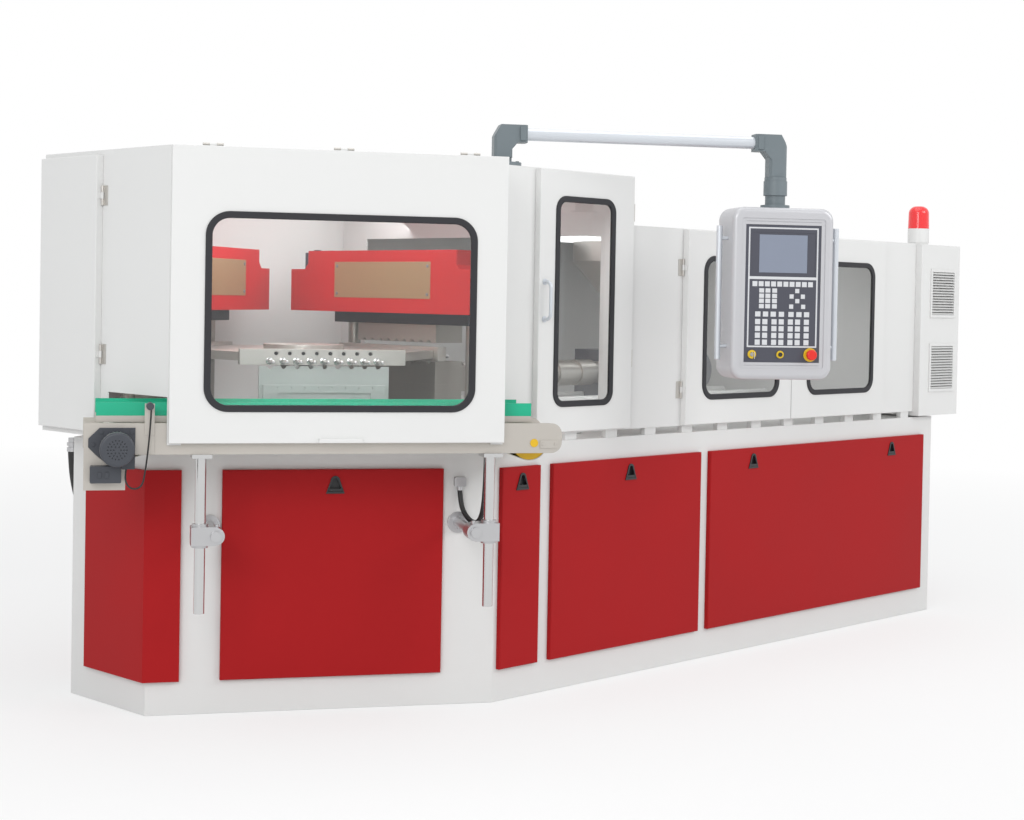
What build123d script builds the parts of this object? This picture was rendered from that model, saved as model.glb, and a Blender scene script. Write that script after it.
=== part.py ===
from build123d import *
from math import atan2, cos, degrees, radians, sin, sqrt, tan
import os

# Driving dimensions in millimetres. The origin is on the floor under the axis of
# the rotary head, +X runs along the machine to its tail and +Z is up.

# Base
base_height = 988
half_width = 929
tail_x = 3330
nose_x = -915
nose_half = 250
shoulder_x = 200
base_wall = 6
base_floor = 10
base_top = 12
spacer_height = 30

# Red cover panels of the base
panel_low = 125
panel_high = 900
panel_proud = 20
panel_lap = 25
grip_height = 843

# Upper housings
sheet = 4
head_top = 2060
low_top = 1859
head_tail_x = 980
end_wall_x = -1040
end_wall_rear = 270
rear_overhang = 95
guard_plane = 324
frame_margin = 45

# Doors and the lifting guard
door_depth = 28
low_door_depth = 30
guard_depth = 26
door_skin = 3
door_gap = 0.5
hinge_radius = 5
hinge_length = 72
gasket_width = 24
gasket_depth = 14
gasket_grip = 10
pane_thick = 5

# Discharge conveyor, measured outwards from the slanting face of the base
conveyor_far = 24
conveyor_near = 315
conveyor_start = -231
conveyor_end = 1475
conveyor_low = 985
conveyor_high = 1094
conveyor_plate = 3
drum_inset = 110
drum_radius = 68
belt_thick = 3
belt_far = 55
belt_near = 248
post_radius = 19
post_low = 420
clamp_height = 690

# Operator arm and panel
arm_foot_x = 280
arm_foot_y = -850
arm_angle = -33.8
arm_reach = 1118
arm_rise = 126
arm_height = head_top + arm_rise
arm_tube_radius = 24
panel_width = 420
panel_height = 679
panel_depth = 180
panel_drop = 599.5
panel_mid_z = arm_height - panel_drop
panel_shift = 24

# Rotary head with its core rods, moulds and clamps
rod_height = 1295
head_drop = 20
rod_radius = 9
rod_count = 9
rod_pitch = 52
rod_root = 500
rod_tip = 620
bar_length = 640
mould_inner = 506
mould_outer = 660
mould_half = 250
clamp_stroke = 80
tie_radius = 28
tie_side = 380
ram_show = 85
cover_drop = 107
cover_tall = 265
cover_inner = 400
cover_outer = 700
cover_half = 480
cover_shoulder = 600
shoulder_drop = 81

# Injection unit
bed_top = 1030
barrel_drop = 95
barrel_z = rod_height - barrel_drop
barrel_radius = 52
barrel_start = 800
barrel_end = 1850
hopper_x = 1990
hopper_radius = 250
rail_y = 140
rail_z = 1078
rail_radius = 20
screw_radius = 22

running = 0.05
apart = 0.4

# Working planes: x runs to the right when a face is seen from outside, y is up
# and the plane's normal points outwards.
corner_b = Vector(nose_x, -nose_half, 0)
corner_c = Vector(shoulder_x, -half_width, 0)
slant_dir = (corner_c - corner_b).normalized()
slant_out = Vector(slant_dir.Y, -slant_dir.X, 0)
slant_length = (corner_c - corner_b).length
slant_face = Plane(origin=corner_b, x_dir=slant_dir, z_dir=slant_out)
side_face = Plane(origin=(0, -half_width, 0), x_dir=(1, 0, 0), z_dir=(0, -1, 0))
nose_face = Plane(origin=(nose_x, 0, 0), x_dir=(0, -1, 0), z_dir=(-1, 0, 0))
end_wall_face = Plane(origin=(end_wall_x, 0, 0), x_dir=(0, -1, 0), z_dir=(-1, 0, 0))
cabinet_proud = 35
cabinet_face = side_face.offset(cabinet_proud)
turn = radians(arm_angle)
arm_dir = Vector(cos(turn), sin(turn), 0)
arm_out = Vector(arm_dir.Y, -arm_dir.X, 0)
arm_foot_point = Vector(arm_foot_x, arm_foot_y, 0)
arm_end_point = arm_foot_point + arm_dir * arm_reach
arm_plane = Plane(origin=arm_foot_point, x_dir=arm_dir, z_dir=arm_out)
panel_plane = Plane(origin=arm_end_point, x_dir=arm_dir, z_dir=arm_out)

os.makedirs("parts", exist_ok=True)


def save(solid, name):
    solid.label = name
    export_step(solid, f"parts/{name}.step")


def slant_point(along, out, height=0.0):
    # A point given by its distance along the slanting face, outwards from it and up.
    point = corner_b + slant_dir * along + slant_out * out
    return Vector(point.X, point.Y, height)


def slant_top(height):
    # A level plane whose x runs along the slanting face and whose y points inwards.
    return Plane(origin=slant_point(0, 0, height), x_dir=slant_dir, z_dir=(0, 0, 1))


def station(angle, height):
    # A level plane at the head's axis: x points out to the station, y runs along it.
    return Plane(origin=(0, 0, height), x_dir=(cos(radians(angle)), sin(radians(angle)), 0), z_dir=(0, 0, 1))


def crossing(point_a, dir_a, point_b, dir_b):
    # Where two lines on the floor plan meet.
    delta = point_b - point_a
    bottom = dir_a.X * dir_b.Y - dir_a.Y * dir_b.X
    run = (delta.X * dir_b.Y - delta.Y * dir_b.X) / bottom
    return point_a + dir_a * run


def slab(face, left, right, low, high, depth):
    # A box that stands on a face, given by its left, right, lower and upper edges.
    with BuildPart() as block:
        with BuildSketch(face):
            with Locations(((left + right) / 2, (low + high) / 2)):
                Rectangle(right - left, high - low)
        extrude(amount=depth)
    return block.part


def prism(points, low, high):
    # A plan outline raised between two heights.
    with BuildPart() as raised:
        with BuildSketch(Plane.XY.offset(low)):
            with BuildLine():
                Polyline(*points, close=True)
            make_face()
        extrude(amount=high - low)
    return raised.part


def hollow(points, low, high, wall, floor=0.0):
    # The same outline as a box with walls and a roof, open below or closed by a floor.
    with BuildPart() as shell:
        with BuildSketch(Plane.XY.offset(low)):
            with BuildLine():
                Polyline(*points, close=True)
            make_face()
        extrude(amount=high - low)
        with BuildSketch(Plane.XY.offset(low + floor)):
            with BuildLine():
                Polyline(*points, close=True)
            make_face()
            offset(amount=-wall, kind=Kind.INTERSECTION)
        extrude(amount=high - low - floor - wall, mode=Mode.SUBTRACT)
    return shell.part


def wall_sheets(shell, points):
    # A shell taken apart into its sheets: each wall in turn, and last the roof between them.
    rest = shell
    sheets = []
    for start, end in zip(points, points[1:] + points[:1]):
        run = Vector(end[0] - start[0], end[1] - start[1], 0)
        face = Plane(origin=(start[0], start[1], 0), x_dir=run, z_dir=(run.Y, -run.X, 0))
        wall = slab(face, -2 * sheet, run.length + 2 * sheet, base_height, head_top + sheet, -sheet)
        sheets += (rest & wall).solids()
        rest = rest - wall
    return Compound(sheets + rest.solids())


# Base: a welded box with a long body and a narrowing nose.
base_plan = [
    (nose_x, -nose_half),
    (shoulder_x, -half_width),
    (tail_x, -half_width),
    (tail_x, half_width),
    (shoulder_x, half_width),
    (nose_x, nose_half),
]
guard_side_span = (269, 1098)
narrow_span = (218, 431)
middle_span = (501, 1436)
long_span = (1501, 3231)
corner_reach = 131
corner_lap = 121
tail_half = 800


def panel_window(face, span):
    return slab(face, span[0] + panel_lap, span[1] - panel_lap, panel_low + panel_lap,
                panel_high - panel_lap, -2 * base_wall)


tail_face = Plane(origin=(tail_x, 0, 0), x_dir=(0, 1, 0), z_dir=(1, 0, 0))
with BuildPart() as front_windows:
    add(panel_window(slant_face, guard_side_span))
    for span in (narrow_span, middle_span, long_span):
        add(panel_window(side_face, span))
with BuildPart() as base_shell:
    add(hollow(base_plan, 0, base_height, base_wall, base_floor))
    with BuildSketch(Plane.XY.offset(base_height - base_wall)):
        with BuildLine():
            Polyline(*base_plan, close=True)
        make_face()
        offset(amount=-base_wall / 2, kind=Kind.INTERSECTION)
    extrude(amount=base_wall - base_top)
    add(front_windows.part, mode=Mode.SUBTRACT)
    add(mirror(front_windows.part, about=Plane.XZ), mode=Mode.SUBTRACT)
    add(panel_window(tail_face, (-tail_half, tail_half)), mode=Mode.SUBTRACT)

spacer_length = 70
spacer_width = 24
spacer_inset = 16
spacer_count = 12
spacer_pitch = 246
spacer_mid_x = 1730
with BuildPart() as base_frame:
    add(base_shell.part)
    with BuildSketch(Plane.XY.offset(base_height)):
        with Locations((spacer_mid_x, 0)):
            with GridLocations(spacer_pitch, 2 * (half_width - spacer_inset), spacer_count, 2):
                Rectangle(spacer_length, spacer_width)
    extrude(amount=spacer_height)
save(base_frame.part, "base_frame")

# Red panels: lift-off trays that lap over the windows of the base.
panel_edge = 3


def cover_panel(face, span):
    with BuildPart() as cover:
        add(slab(face, span[0], span[1], panel_low, panel_high, panel_proud))
        chamfer(cover.faces().sort_by(Axis(face.origin, face.z_dir))[-1].edges(), panel_edge)
        add(slab(face, span[0] + panel_edge, span[1] - panel_edge, panel_low + panel_edge,
                 panel_high - panel_edge, panel_proud - panel_edge), mode=Mode.SUBTRACT)
    return cover.part


with BuildPart() as front_panels:
    add(cover_panel(slant_face, guard_side_span))
    for span in (narrow_span, middle_span, long_span):
        add(cover_panel(side_face, span))
nose_dir = Vector(0, -1, 0)
outer_corner = crossing(Vector(nose_x - panel_proud, 0, 0), nose_dir, slant_point(0, panel_proud), slant_dir)
corner_plan = [
    (nose_x, corner_reach),
    (nose_x - panel_proud, corner_reach),
    (outer_corner.X, outer_corner.Y),
    tuple(slant_point(corner_lap, panel_proud))[:2],
    tuple(slant_point(corner_lap, 0))[:2],
    (nose_x, -nose_half),
]
with BuildPart() as base_panels:
    add(front_panels.part)
    add(prism(corner_plan, panel_low, panel_high))
    add(mirror(front_panels.part, about=Plane.XZ))
    add(cover_panel(tail_face, (-tail_half, tail_half)))
grip_places = [(slant_face, 685), (side_face, 326), (side_face, 967), (side_face, 1806), (side_face, 2933)]
grip_width = 70
grip_tall = 66
grip_rim = 4
grip_recess = 14


def grip_outline(shrink=0.0):
    # A bell shape: a wide foot and a round head.
    foot = grip_width / 2 - shrink
    head = grip_width / 4 - shrink
    low = -grip_tall / 2 + shrink
    shoulder = grip_tall / 2 - grip_width / 4
    with BuildSketch() as bell:
        with BuildLine():
            Line((-foot, low), (foot, low))
            Line((foot, low), (head, shoulder))
            ThreePointArc((head, shoulder), (0, shoulder + head), (-head, shoulder))
            Line((-head, shoulder), (-foot, low))
        make_face()
    return bell.sketch


# Finger pulls of the panels: a moulded cup with a bell-shaped rim, let into the sheet.
with BuildPart() as cup:
    extrude(grip_outline(), amount=grip_rim)
    extrude(grip_outline(5), amount=-grip_recess)
    extrude(Pos(0, 0, grip_rim) * grip_outline(8), amount=-grip_rim - grip_recess + 3, mode=Mode.SUBTRACT)
    with Locations((0, -grip_tall / 2 + 14, grip_rim - 2)):
        Box(grip_width - 22, 10, 3)
with BuildPart() as cup_hole:
    extrude(grip_outline(5), amount=-panel_proud)


def grip_seat(face, along):
    spot = face.from_local_coords((along, grip_height, panel_proud))
    return Plane(origin=spot, x_dir=face.x_dir, z_dir=face.z_dir).location


seats = [grip_seat(face, along) for face, along in grip_places]
with BuildPart() as panel_grips:
    with Locations(*seats):
        add(cup.part)
with BuildPart() as cup_holes:
    with Locations(*seats):
        add(cup_hole.part)
save(panel_grips.part, "panel_grips")
save(base_panels.part - cup_holes.part, "base_panels")

# Machine bed, with the column of the rotary head and the rails of the injection unit.
bed_plan = [(-800, -180), (-860, 245), (170, 880), (900, 880), (900, 300), (3000, 300), (3000, -300),
            (900, -300), (900, -730), (150, -730)]
column_radius = 150
column_high = rod_height - 90
shaft_radius = 62
shaft_low = column_high - 115
with BuildPart() as machine_bed:
    add(prism(bed_plan, base_height, bed_top))
    with BuildSketch(Plane.XZ):
        with BuildLine():
            Polyline((0, bed_top), (column_radius + 60, bed_top), (column_radius + 60, bed_top + 25),
                     (column_radius, bed_top + 25), (column_radius - 30, column_high), (0, column_high),
                     close=True)
        make_face()
    revolve(axis=Axis.Z)
    with Locations((0, 0, (shaft_low - 30 + column_high) / 2)):
        Cylinder(shaft_radius + running, column_high - shaft_low + 30, mode=Mode.SUBTRACT)
    for side in (-1, 1):
        with BuildSketch(Plane.YZ.offset(900)):
            with Locations((side * rail_y, rail_z)):
                Circle(rail_radius)
        extrude(amount=2080)
        for foot_x in (930, 1500, 2930):
            with Locations((foot_x, side * rail_y, (bed_top + rail_z) / 2)):
                Box(70, 34, rail_z - bed_top)

# Housing of the head: the guarded moulding area and the tall section behind it.
housing_low = base_height + spacer_height
guard_left = 53
guard_right = 1249
guard_low = 1026
front_left = crossing(Vector(end_wall_x, 0, 0), nose_dir, slant_point(0, guard_plane - apart), slant_dir)
front_right = slant_point(guard_right, guard_plane - apart)
return_foot = crossing(front_right, slant_out, Vector(0, -half_width, 0), Vector(1, 0, 0))
rear_dir = Vector(slant_dir.X, -slant_dir.Y, 0)
rear_out = Vector(slant_out.X, -slant_out.Y, 0)
rear_start = crossing(Vector(end_wall_x, end_wall_rear, 0), rear_dir, Vector(0, half_width, 0), Vector(1, 0, 0))
head_plan = [
    (front_left.X, front_left.Y),
    (front_right.X, front_right.Y),
    (return_foot.X, return_foot.Y),
    (head_tail_x, -half_width),
    (head_tail_x, half_width),
    (rear_start.X, rear_start.Y),
    (end_wall_x, end_wall_rear),
]
tall_door = (391, 950)
end_door = (-255, 127)
low_door_split = 2070
low_doors = ((1307, low_door_split - 2), (low_door_split + 2, 2833))
door_low = 1022
rear_window = (420, 980, 1250, 1840)
rear_face = Plane(origin=(end_wall_x, end_wall_rear, 0), x_dir=-rear_dir, z_dir=rear_out)
pass_high = 1185
slot_reach = guard_plane - apart - sheet
with BuildPart() as head_shell:
    add(hollow(head_plan, housing_low, head_top, sheet))
    add(slab(slant_face.offset(guard_plane), guard_left + frame_margin, guard_right - frame_margin,
             housing_low, head_top - frame_margin, -3 * sheet), mode=Mode.SUBTRACT)
    add(slab(side_face, tall_door[0] + frame_margin, tall_door[1] - frame_margin,
             door_low + frame_margin, head_top - frame_margin, -2 * sheet), mode=Mode.SUBTRACT)
    add(slab(end_wall_face, end_door[0] + frame_margin, end_door[1] - frame_margin,
             door_low + frame_margin, head_top - frame_margin, -2 * sheet), mode=Mode.SUBTRACT)
    # The conveyor passes out through slots in the end wall and in the return wall.
    with BuildSketch(slant_top(housing_low)):
        with Locations(((conveyor_start + conveyor_end) / 2, -slot_reach / 2)):
            Rectangle(conveyor_end - conveyor_start, slot_reach)
    extrude(amount=pass_high - housing_low, mode=Mode.SUBTRACT)
    # A tall opening joins this housing to the low one behind it.
    with BuildSketch(Plane.YZ.offset(head_tail_x - 2 * sheet)):
        with Locations((0, (housing_low + low_top - 40) / 2)):
            Rectangle(1500, low_top - 40 - housing_low)
    extrude(amount=4 * sheet, mode=Mode.SUBTRACT)
    with BuildSketch(rear_face.offset(5)):
        with Locations((-(rear_window[0] + rear_window[1]) / 2, (rear_window[2] + rear_window[3]) / 2)):
            RectangleRounded(rear_window[1] - rear_window[0], rear_window[3] - rear_window[2], 70)
    extrude(amount=-30, mode=Mode.SUBTRACT)
save(wall_sheets(head_shell.part, head_plan), "head_housing")

with BuildPart() as rear_pane:
    with BuildSketch(rear_face.offset(-sheet)):
        with Locations((-(rear_window[0] + rear_window[1]) / 2, (rear_window[2] + rear_window[3]) / 2)):
            RectangleRounded(rear_window[1] - rear_window[0] + 40, rear_window[3] - rear_window[2] + 40, 80)
    extrude(amount=-pane_thick)
save(rear_pane.part, "rear_pane")

# Low housing over the injection unit.
cabinet_x = (3152, 3517)
low_plan = [
    (head_tail_x, -half_width),
    (cabinet_x[0], -half_width),
    (cabinet_x[0], half_width),
    (head_tail_x, half_width),
]
with BuildPart() as low_shell:
    add(hollow(low_plan, housing_low, low_top, sheet))
    for span in low_doors:
        add(slab(side_face, span[0] + frame_margin, span[1] - frame_margin,
                 door_low + frame_margin, low_top - frame_margin, -2 * sheet), mode=Mode.SUBTRACT)
    with BuildSketch(Plane.YZ.offset(head_tail_x - sheet)):
        with Locations((0, (housing_low + low_top - 40) / 2)):
            Rectangle(1500, low_top - 40 - housing_low)
    extrude(amount=3 * sheet, mode=Mode.SUBTRACT)
save(wall_sheets(low_shell.part, low_plan), "low_housing")

# Electrical cabinet with two louvred vents and the foot of the warning light.
cabinet_low = 996
cabinet_high = 1855
louvre_x = (3234, 3471)
louvre_z = (1237, 1611)
louvre_tall = 244
louvre_border = 14
louvre_proud = 6
slat_count = 16
beacon_x = 3280
beacon_y = -860
beacon_radius = 53
beacon_split = 1939
beacon_top = 2052
with BuildPart() as cabinet_shell:
    with BuildSketch(Plane.XY.offset(cabinet_low)):
        with Locations(((cabinet_x[0] + cabinet_x[1]) / 2, 0)):
            Rectangle(cabinet_x[1] - cabinet_x[0] - 2 * apart, 2 * (half_width + cabinet_proud))
    extrude(amount=cabinet_high - cabinet_low)
    fillet(cabinet_shell.edges().filter_by(Axis.Z), 4)
    with Locations(((cabinet_x[0] + cabinet_x[1]) / 2, 0, (cabinet_low + cabinet_high) / 2)):
        Box(cabinet_x[1] - cabinet_x[0] - 2 * sheet, 2 * (half_width + cabinet_proud - sheet),
            cabinet_high - cabinet_low - 2 * sheet, mode=Mode.SUBTRACT)
louvre_mid = (louvre_x[0] + louvre_x[1]) / 2
louvre_width = louvre_x[1] - louvre_x[0]
slat_span = louvre_tall - 2 * louvre_border
slat_pitch = slat_span / slat_count
with BuildPart() as vent:
    add(slab(cabinet_face, louvre_x[0], louvre_x[1], -louvre_tall / 2, louvre_tall / 2, louvre_proud))
    add(slab(cabinet_face, louvre_x[0] + louvre_border, louvre_x[1] - louvre_border,
             -slat_span / 2, slat_span / 2, louvre_proud), mode=Mode.SUBTRACT)
    # Each slat slopes down and outwards, so that rain and dust stay out.
    with BuildSketch(Plane.YZ.offset(louvre_x[0] + louvre_border)):
        for index in range(slat_count):
            top = slat_span / 2 - (index + 0.1) * slat_pitch
            with BuildLine():
                Polyline((-half_width - cabinet_proud + sheet, top),
                         (-half_width - cabinet_proud - louvre_proud, top - 0.62 * slat_pitch),
                         (-half_width - cabinet_proud - louvre_proud, top - 0.78 * slat_pitch),
                         (-half_width - cabinet_proud + sheet, top - 0.16 * slat_pitch), close=True)
            make_face()
    extrude(amount=louvre_width - 2 * louvre_border)
with BuildPart() as cabinet:
    add(cabinet_shell.part)
    for mid in louvre_z:
        add(slab(cabinet_face, louvre_x[0] + louvre_border, louvre_x[1] - louvre_border,
                 mid - slat_span / 2, mid + slat_span / 2, -2 * sheet), mode=Mode.SUBTRACT)
        with Locations((0, 0, mid)):
            add(vent.part)
    with BuildSketch(Plane.XY.offset(cabinet_high)):
        with Locations((beacon_x, beacon_y)):
            Circle(beacon_radius - 3)
    extrude(amount=12)
    with BuildSketch(Plane.XY.offset(cabinet_high + 12)):
        with Locations((beacon_x, beacon_y)):
            Circle(beacon_radius)
    extrude(amount=beacon_split - cabinet_high - 12)
save(cabinet.part, "cabinet")

with BuildPart() as beacon_dome:
    with BuildSketch(Plane(origin=(beacon_x, beacon_y, beacon_split), x_dir=(1, 0, 0), z_dir=(0, -1, 0))):
        with BuildLine():
            dome_high = beacon_top - beacon_split
            curve = 34
            Line((0, 0), (beacon_radius, 0))
            Line((beacon_radius, 0), (beacon_radius - 2, dome_high - curve))
            ThreePointArc((beacon_radius - 2, dome_high - curve), (beacon_radius - 12, dome_high - 11),
                          (beacon_radius - 30, dome_high))
            Line((beacon_radius - 30, dome_high), (0, dome_high))
            Line((0, dome_high), (0, 0))
        make_face()
    revolve(axis=Axis((beacon_x, beacon_y, 0), (0, 0, 1)))
save(beacon_dome.part, "beacon_dome")


# Doors: a folded sheet tray, a window cut in it, a moulded gasket and a clear pane.
def window_block(face, window, radius, inset, low, depth):
    # A rounded block whose outline is set in from the window's outer edge.
    with BuildPart() as block:
        with BuildSketch(face.offset(low)):
            with Locations(((window[0] + window[1]) / 2, (window[2] + window[3]) / 2)):
                RectangleRounded(window[1] - window[0] - 2 * inset, window[3] - window[2] - 2 * inset,
                                 radius - inset)
        extrude(amount=depth)
    return block.part


def door_leaf(face, span, low, high, depth, window=None, radius=70.0):
    seat = face.offset(door_gap)
    with BuildPart() as leaf:
        add(slab(seat, span[0], span[1], low, high, depth - door_gap))
        fillet(leaf.faces().sort_by(Axis(seat.origin, seat.z_dir))[-1].edges(), 3)
        add(slab(seat, span[0] + door_skin, span[1] - door_skin, low + door_skin, high - door_skin,
                 depth - door_gap - door_skin), mode=Mode.SUBTRACT)
        if window:
            add(window_block(face, window, radius, gasket_width / 2, 0, depth + 1), mode=Mode.SUBTRACT)
    return leaf.part


def window_gasket(face, depth, window, radius=70.0):
    # An H section: one slot holds the door's skin and the other holds the pane.
    middle = depth - door_skin / 2
    back = middle - gasket_depth / 2
    with BuildPart() as gasket:
        add(window_block(face, window, radius, 0, back, gasket_depth))
        add(window_block(face, window, radius, gasket_width, back - 1, gasket_depth + 2),
            mode=Mode.SUBTRACT)
        fillet(gasket.edges().group_by(Axis(face.origin, face.z_dir))[-1], 3)
        add(window_block(face, window, radius, -1, middle - door_skin / 2, door_skin)
            - window_block(face, window, radius, gasket_width / 2, middle - door_skin / 2, door_skin),
            mode=Mode.SUBTRACT)
        add(window_pane(face, depth, window, radius), mode=Mode.SUBTRACT)
    return gasket.part


def window_pane(face, depth, window, radius=70.0):
    low = depth - door_skin / 2 - pane_thick / 2
    return window_block(face, window, radius, gasket_width - gasket_grip, low, pane_thick)


# Hinges: a fixed leaf with two knuckles and its pin, and a door knuckle with a strap.
knuckle = hinge_length / 3
strap = 22
pin_radius = 2
axis_out = hinge_radius + 1
hinge_step = hinge_radius + apart

# The axis is local Z. The wall lies at local y = 0 and the door on the -x side.
with BuildPart() as fixed_half:
    with BuildSketch(Plane.XY.offset(-hinge_length / 2)):
        with Locations((hinge_radius + 0.5 + strap / 2, 1)):
            Rectangle(strap, 2)
    extrude(amount=hinge_length)
    for start in (-hinge_length / 2, hinge_length / 2 - knuckle + apart / 2):
        with BuildSketch(Plane.XY.offset(start)):
            with Locations((0, axis_out)):
                Circle(hinge_radius)
            with Locations(((hinge_radius + 0.5) / 2, 2)):
                Rectangle(hinge_radius + 1.5, 2)
        extrude(amount=knuckle - apart / 2)
    with BuildSketch(Plane.XY.offset(-hinge_length / 2)):
        with Locations((0, axis_out)):
            Circle(pin_radius)
    extrude(amount=hinge_length)


def hinge_moving(strap_mid, strap_size):
    # The door's knuckle, bored for the pin, with a strap on the door's edge.
    with BuildPart() as half:
        with BuildSketch(Plane.XY.offset(-knuckle / 2 + apart / 2)):
            with Locations((0, axis_out)):
                Circle(hinge_radius)
            with Locations(strap_mid):
                Rectangle(*strap_size)
            with Locations((0, axis_out)):
                Circle(pin_radius + running, mode=Mode.SUBTRACT)
        extrude(amount=knuckle - apart)
    return half.part


def hinge_spot(face, along, height, side):
    # side is 1 where the fixed leaf lies to the right of the axis and -1 to the left.
    spot = face.from_local_coords((along, height, 0))
    return Plane(origin=spot, x_dir=face.x_dir * side, z_dir=(0, 0, -side)).location


end_hinges = [hinge_spot(end_wall_face, end_door[1] + hinge_step, z, 1) for z in (1895, 1320)]
tall_hinges = [hinge_spot(side_face, tall_door[1] + hinge_step, z, 1) for z in (1911, 1310)]
low_left_hinges = [hinge_spot(side_face, low_doors[0][0] - hinge_step, z, -1) for z in (1693, 1172)]
low_right_hinges = [hinge_spot(side_face, low_doors[1][1] + hinge_step, z, 1) for z in (1703, 1175)]
# The guard's hinges lie along its top edge, with their fixed leaves on the roof.
guard_hinge_offset = guard_plane + hinge_step - apart
guard_hinges = [
    Plane(origin=slant_point(along, guard_hinge_offset, head_top), x_dir=-slant_out,
          z_dir=slant_dir).location
    for along in (guard_left + 140, (guard_left + guard_right) / 2, guard_right - 140)
]
with BuildPart() as hinge_leaves:
    with Locations(*end_hinges, *tall_hinges, *low_left_hinges, *low_right_hinges, *guard_hinges):
        add(fixed_half.part)
save(hinge_leaves.part, "hinge_leaves")
door_strap = hinge_moving((-hinge_radius + 0.5, 14), (3, 18))
guard_strap = hinge_moving((0, 1), (7, 4))
for label, value in (("end", end_hinges[0]), ("tall", tall_hinges[0]), ("left", low_left_hinges[0]),
                     ("right", low_right_hinges[0]), ("guard", guard_hinges[0])):
    pivot = (value * Pos(0, axis_out, 0)).position
    print(f"hinge axis {label}: {pivot.X:.2f} {pivot.Y:.2f} {pivot.Z:.2f}")

guard_face = slant_face.offset(guard_plane)
guard_window = (170, 1137, 1136, 1835)
guard_span = (guard_left, guard_right)
lip_span = (575, 730)
lip_z = (1028, 1044)
lip_out = 10
with BuildPart() as front_guard:
    add(door_leaf(guard_face, guard_span, guard_low, head_top, guard_depth, guard_window, 85))
    add(slab(guard_face.offset(guard_depth - 1), *lip_span, *lip_z, lip_out + 1))
    add(slab(guard_face.offset(guard_depth + 3), lip_span[0] + 3, lip_span[1] - 3, lip_z[0], lip_z[1] - 3,
             lip_out - 6), mode=Mode.SUBTRACT)
    with Locations(*guard_hinges):
        add(guard_strap)
save(front_guard.part, "front_guard")
save(window_gasket(guard_face, guard_depth, guard_window, 85), "guard_gasket")
save(window_pane(guard_face, guard_depth, guard_window, 85), "guard_pane")

with BuildPart() as end_door_leaf:
    add(door_leaf(end_wall_face, end_door, 1038, 2042, door_depth))
    with Locations(*end_hinges):
        add(door_strap)
save(end_door_leaf.part, "end_door")

tall_window = (479, 832, 1124, 1956)
tall_radius = 57
with BuildPart() as tall_door_leaf:
    add(door_leaf(side_face, tall_door, 1025, 2056, door_depth, tall_window, tall_radius))
    with Locations(*tall_hinges):
        add(door_strap)
save(tall_door_leaf.part, "tall_door")
save(window_gasket(side_face, door_depth, tall_window, tall_radius), "tall_gasket")
save(window_pane(side_face, door_depth, tall_window, tall_radius), "tall_pane")

# The door's pull is a bent round bar on two feet.
pull_x = 421
pull_z = (1463, 1623)
pull_out = 42
pull_radius = 7
with BuildPart() as tall_pull:
    with BuildLine(Plane(origin=(pull_x, -half_width - door_depth, 0), x_dir=(0, -1, 0), z_dir=(-1, 0, 0))):
        FilletPolyline((0, pull_z[0] + pull_radius), (pull_out - pull_radius, pull_z[0] + pull_radius),
                       (pull_out - pull_radius, pull_z[1] - pull_radius), (0, pull_z[1] - pull_radius),
                       radius=22)
    with BuildSketch(Plane(origin=(pull_x, -half_width - door_depth, pull_z[0] + pull_radius),
                           z_dir=(0, -1, 0))):
        Circle(pull_radius)
    sweep()
    for height in (pull_z[0] + pull_radius, pull_z[1] - pull_radius):
        with BuildSketch(side_face.offset(door_depth)):
            with Locations((pull_x, height)):
                Circle(pull_radius + 5)
        extrude(amount=4)
save(tall_pull.part, "tall_pull")

left_window = (1414, 1971, 1126, 1748)
right_window = (2188, 2735, 1126, 1748)
with BuildPart() as low_door_left:
    add(door_leaf(side_face, low_doors[0], door_low, low_top - 4, low_door_depth, left_window))
    with Locations(*low_left_hinges):
        add(door_strap)
save(low_door_left.part, "low_door_left")
save(window_gasket(side_face, low_door_depth, left_window), "left_gasket")
save(window_pane(side_face, low_door_depth, left_window), "left_pane")
with BuildPart() as low_door_right:
    add(door_leaf(side_face, low_doors[1], door_low, low_top - 4, low_door_depth, right_window))
    with Locations(*low_right_hinges):
        add(door_strap)
save(low_door_right.part, "low_door_right")
save(window_gasket(side_face, low_door_depth, right_window), "right_gasket")
save(window_pane(side_face, low_door_depth, right_window), "right_pane")

def station_face(angle, distance):
    # An upright plane across a station: x runs along it, y is up, the normal points out.
    out = Vector(cos(radians(angle)), sin(radians(angle)), 0)
    return Plane(origin=out * distance, x_dir=(-out.Y, out.X, 0), z_dir=out)


# Rotary head: a lifting shaft, a three-sided carrier and three rows of core rods.
carrier_low = rod_height - 15
carrier_high = rod_height + 45
carrier_thick = 45
hub_radius = 165
hub_high = rod_height + 51
plate_low = rod_height - 3
plate_high = rod_height + 31
shaft_top = plate_low - apart
hole_height = rod_height + 29
hole_radius = 8
with BuildPart() as index_shaft:
    with Locations((0, 0, (shaft_low + shaft_top) / 2)):
        Cylinder(shaft_radius, shaft_top - shaft_low)
    with Locations((0, 0, (column_high + 30 + shaft_top) / 2)):
        Cylinder(95, shaft_top - column_high - 30)
    with Locations((0, 0, (shaft_top + hub_high - 6) / 2)):
        Cylinder(40, hub_high - 6 - shaft_top)
save(index_shaft.part, "index_shaft")

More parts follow.
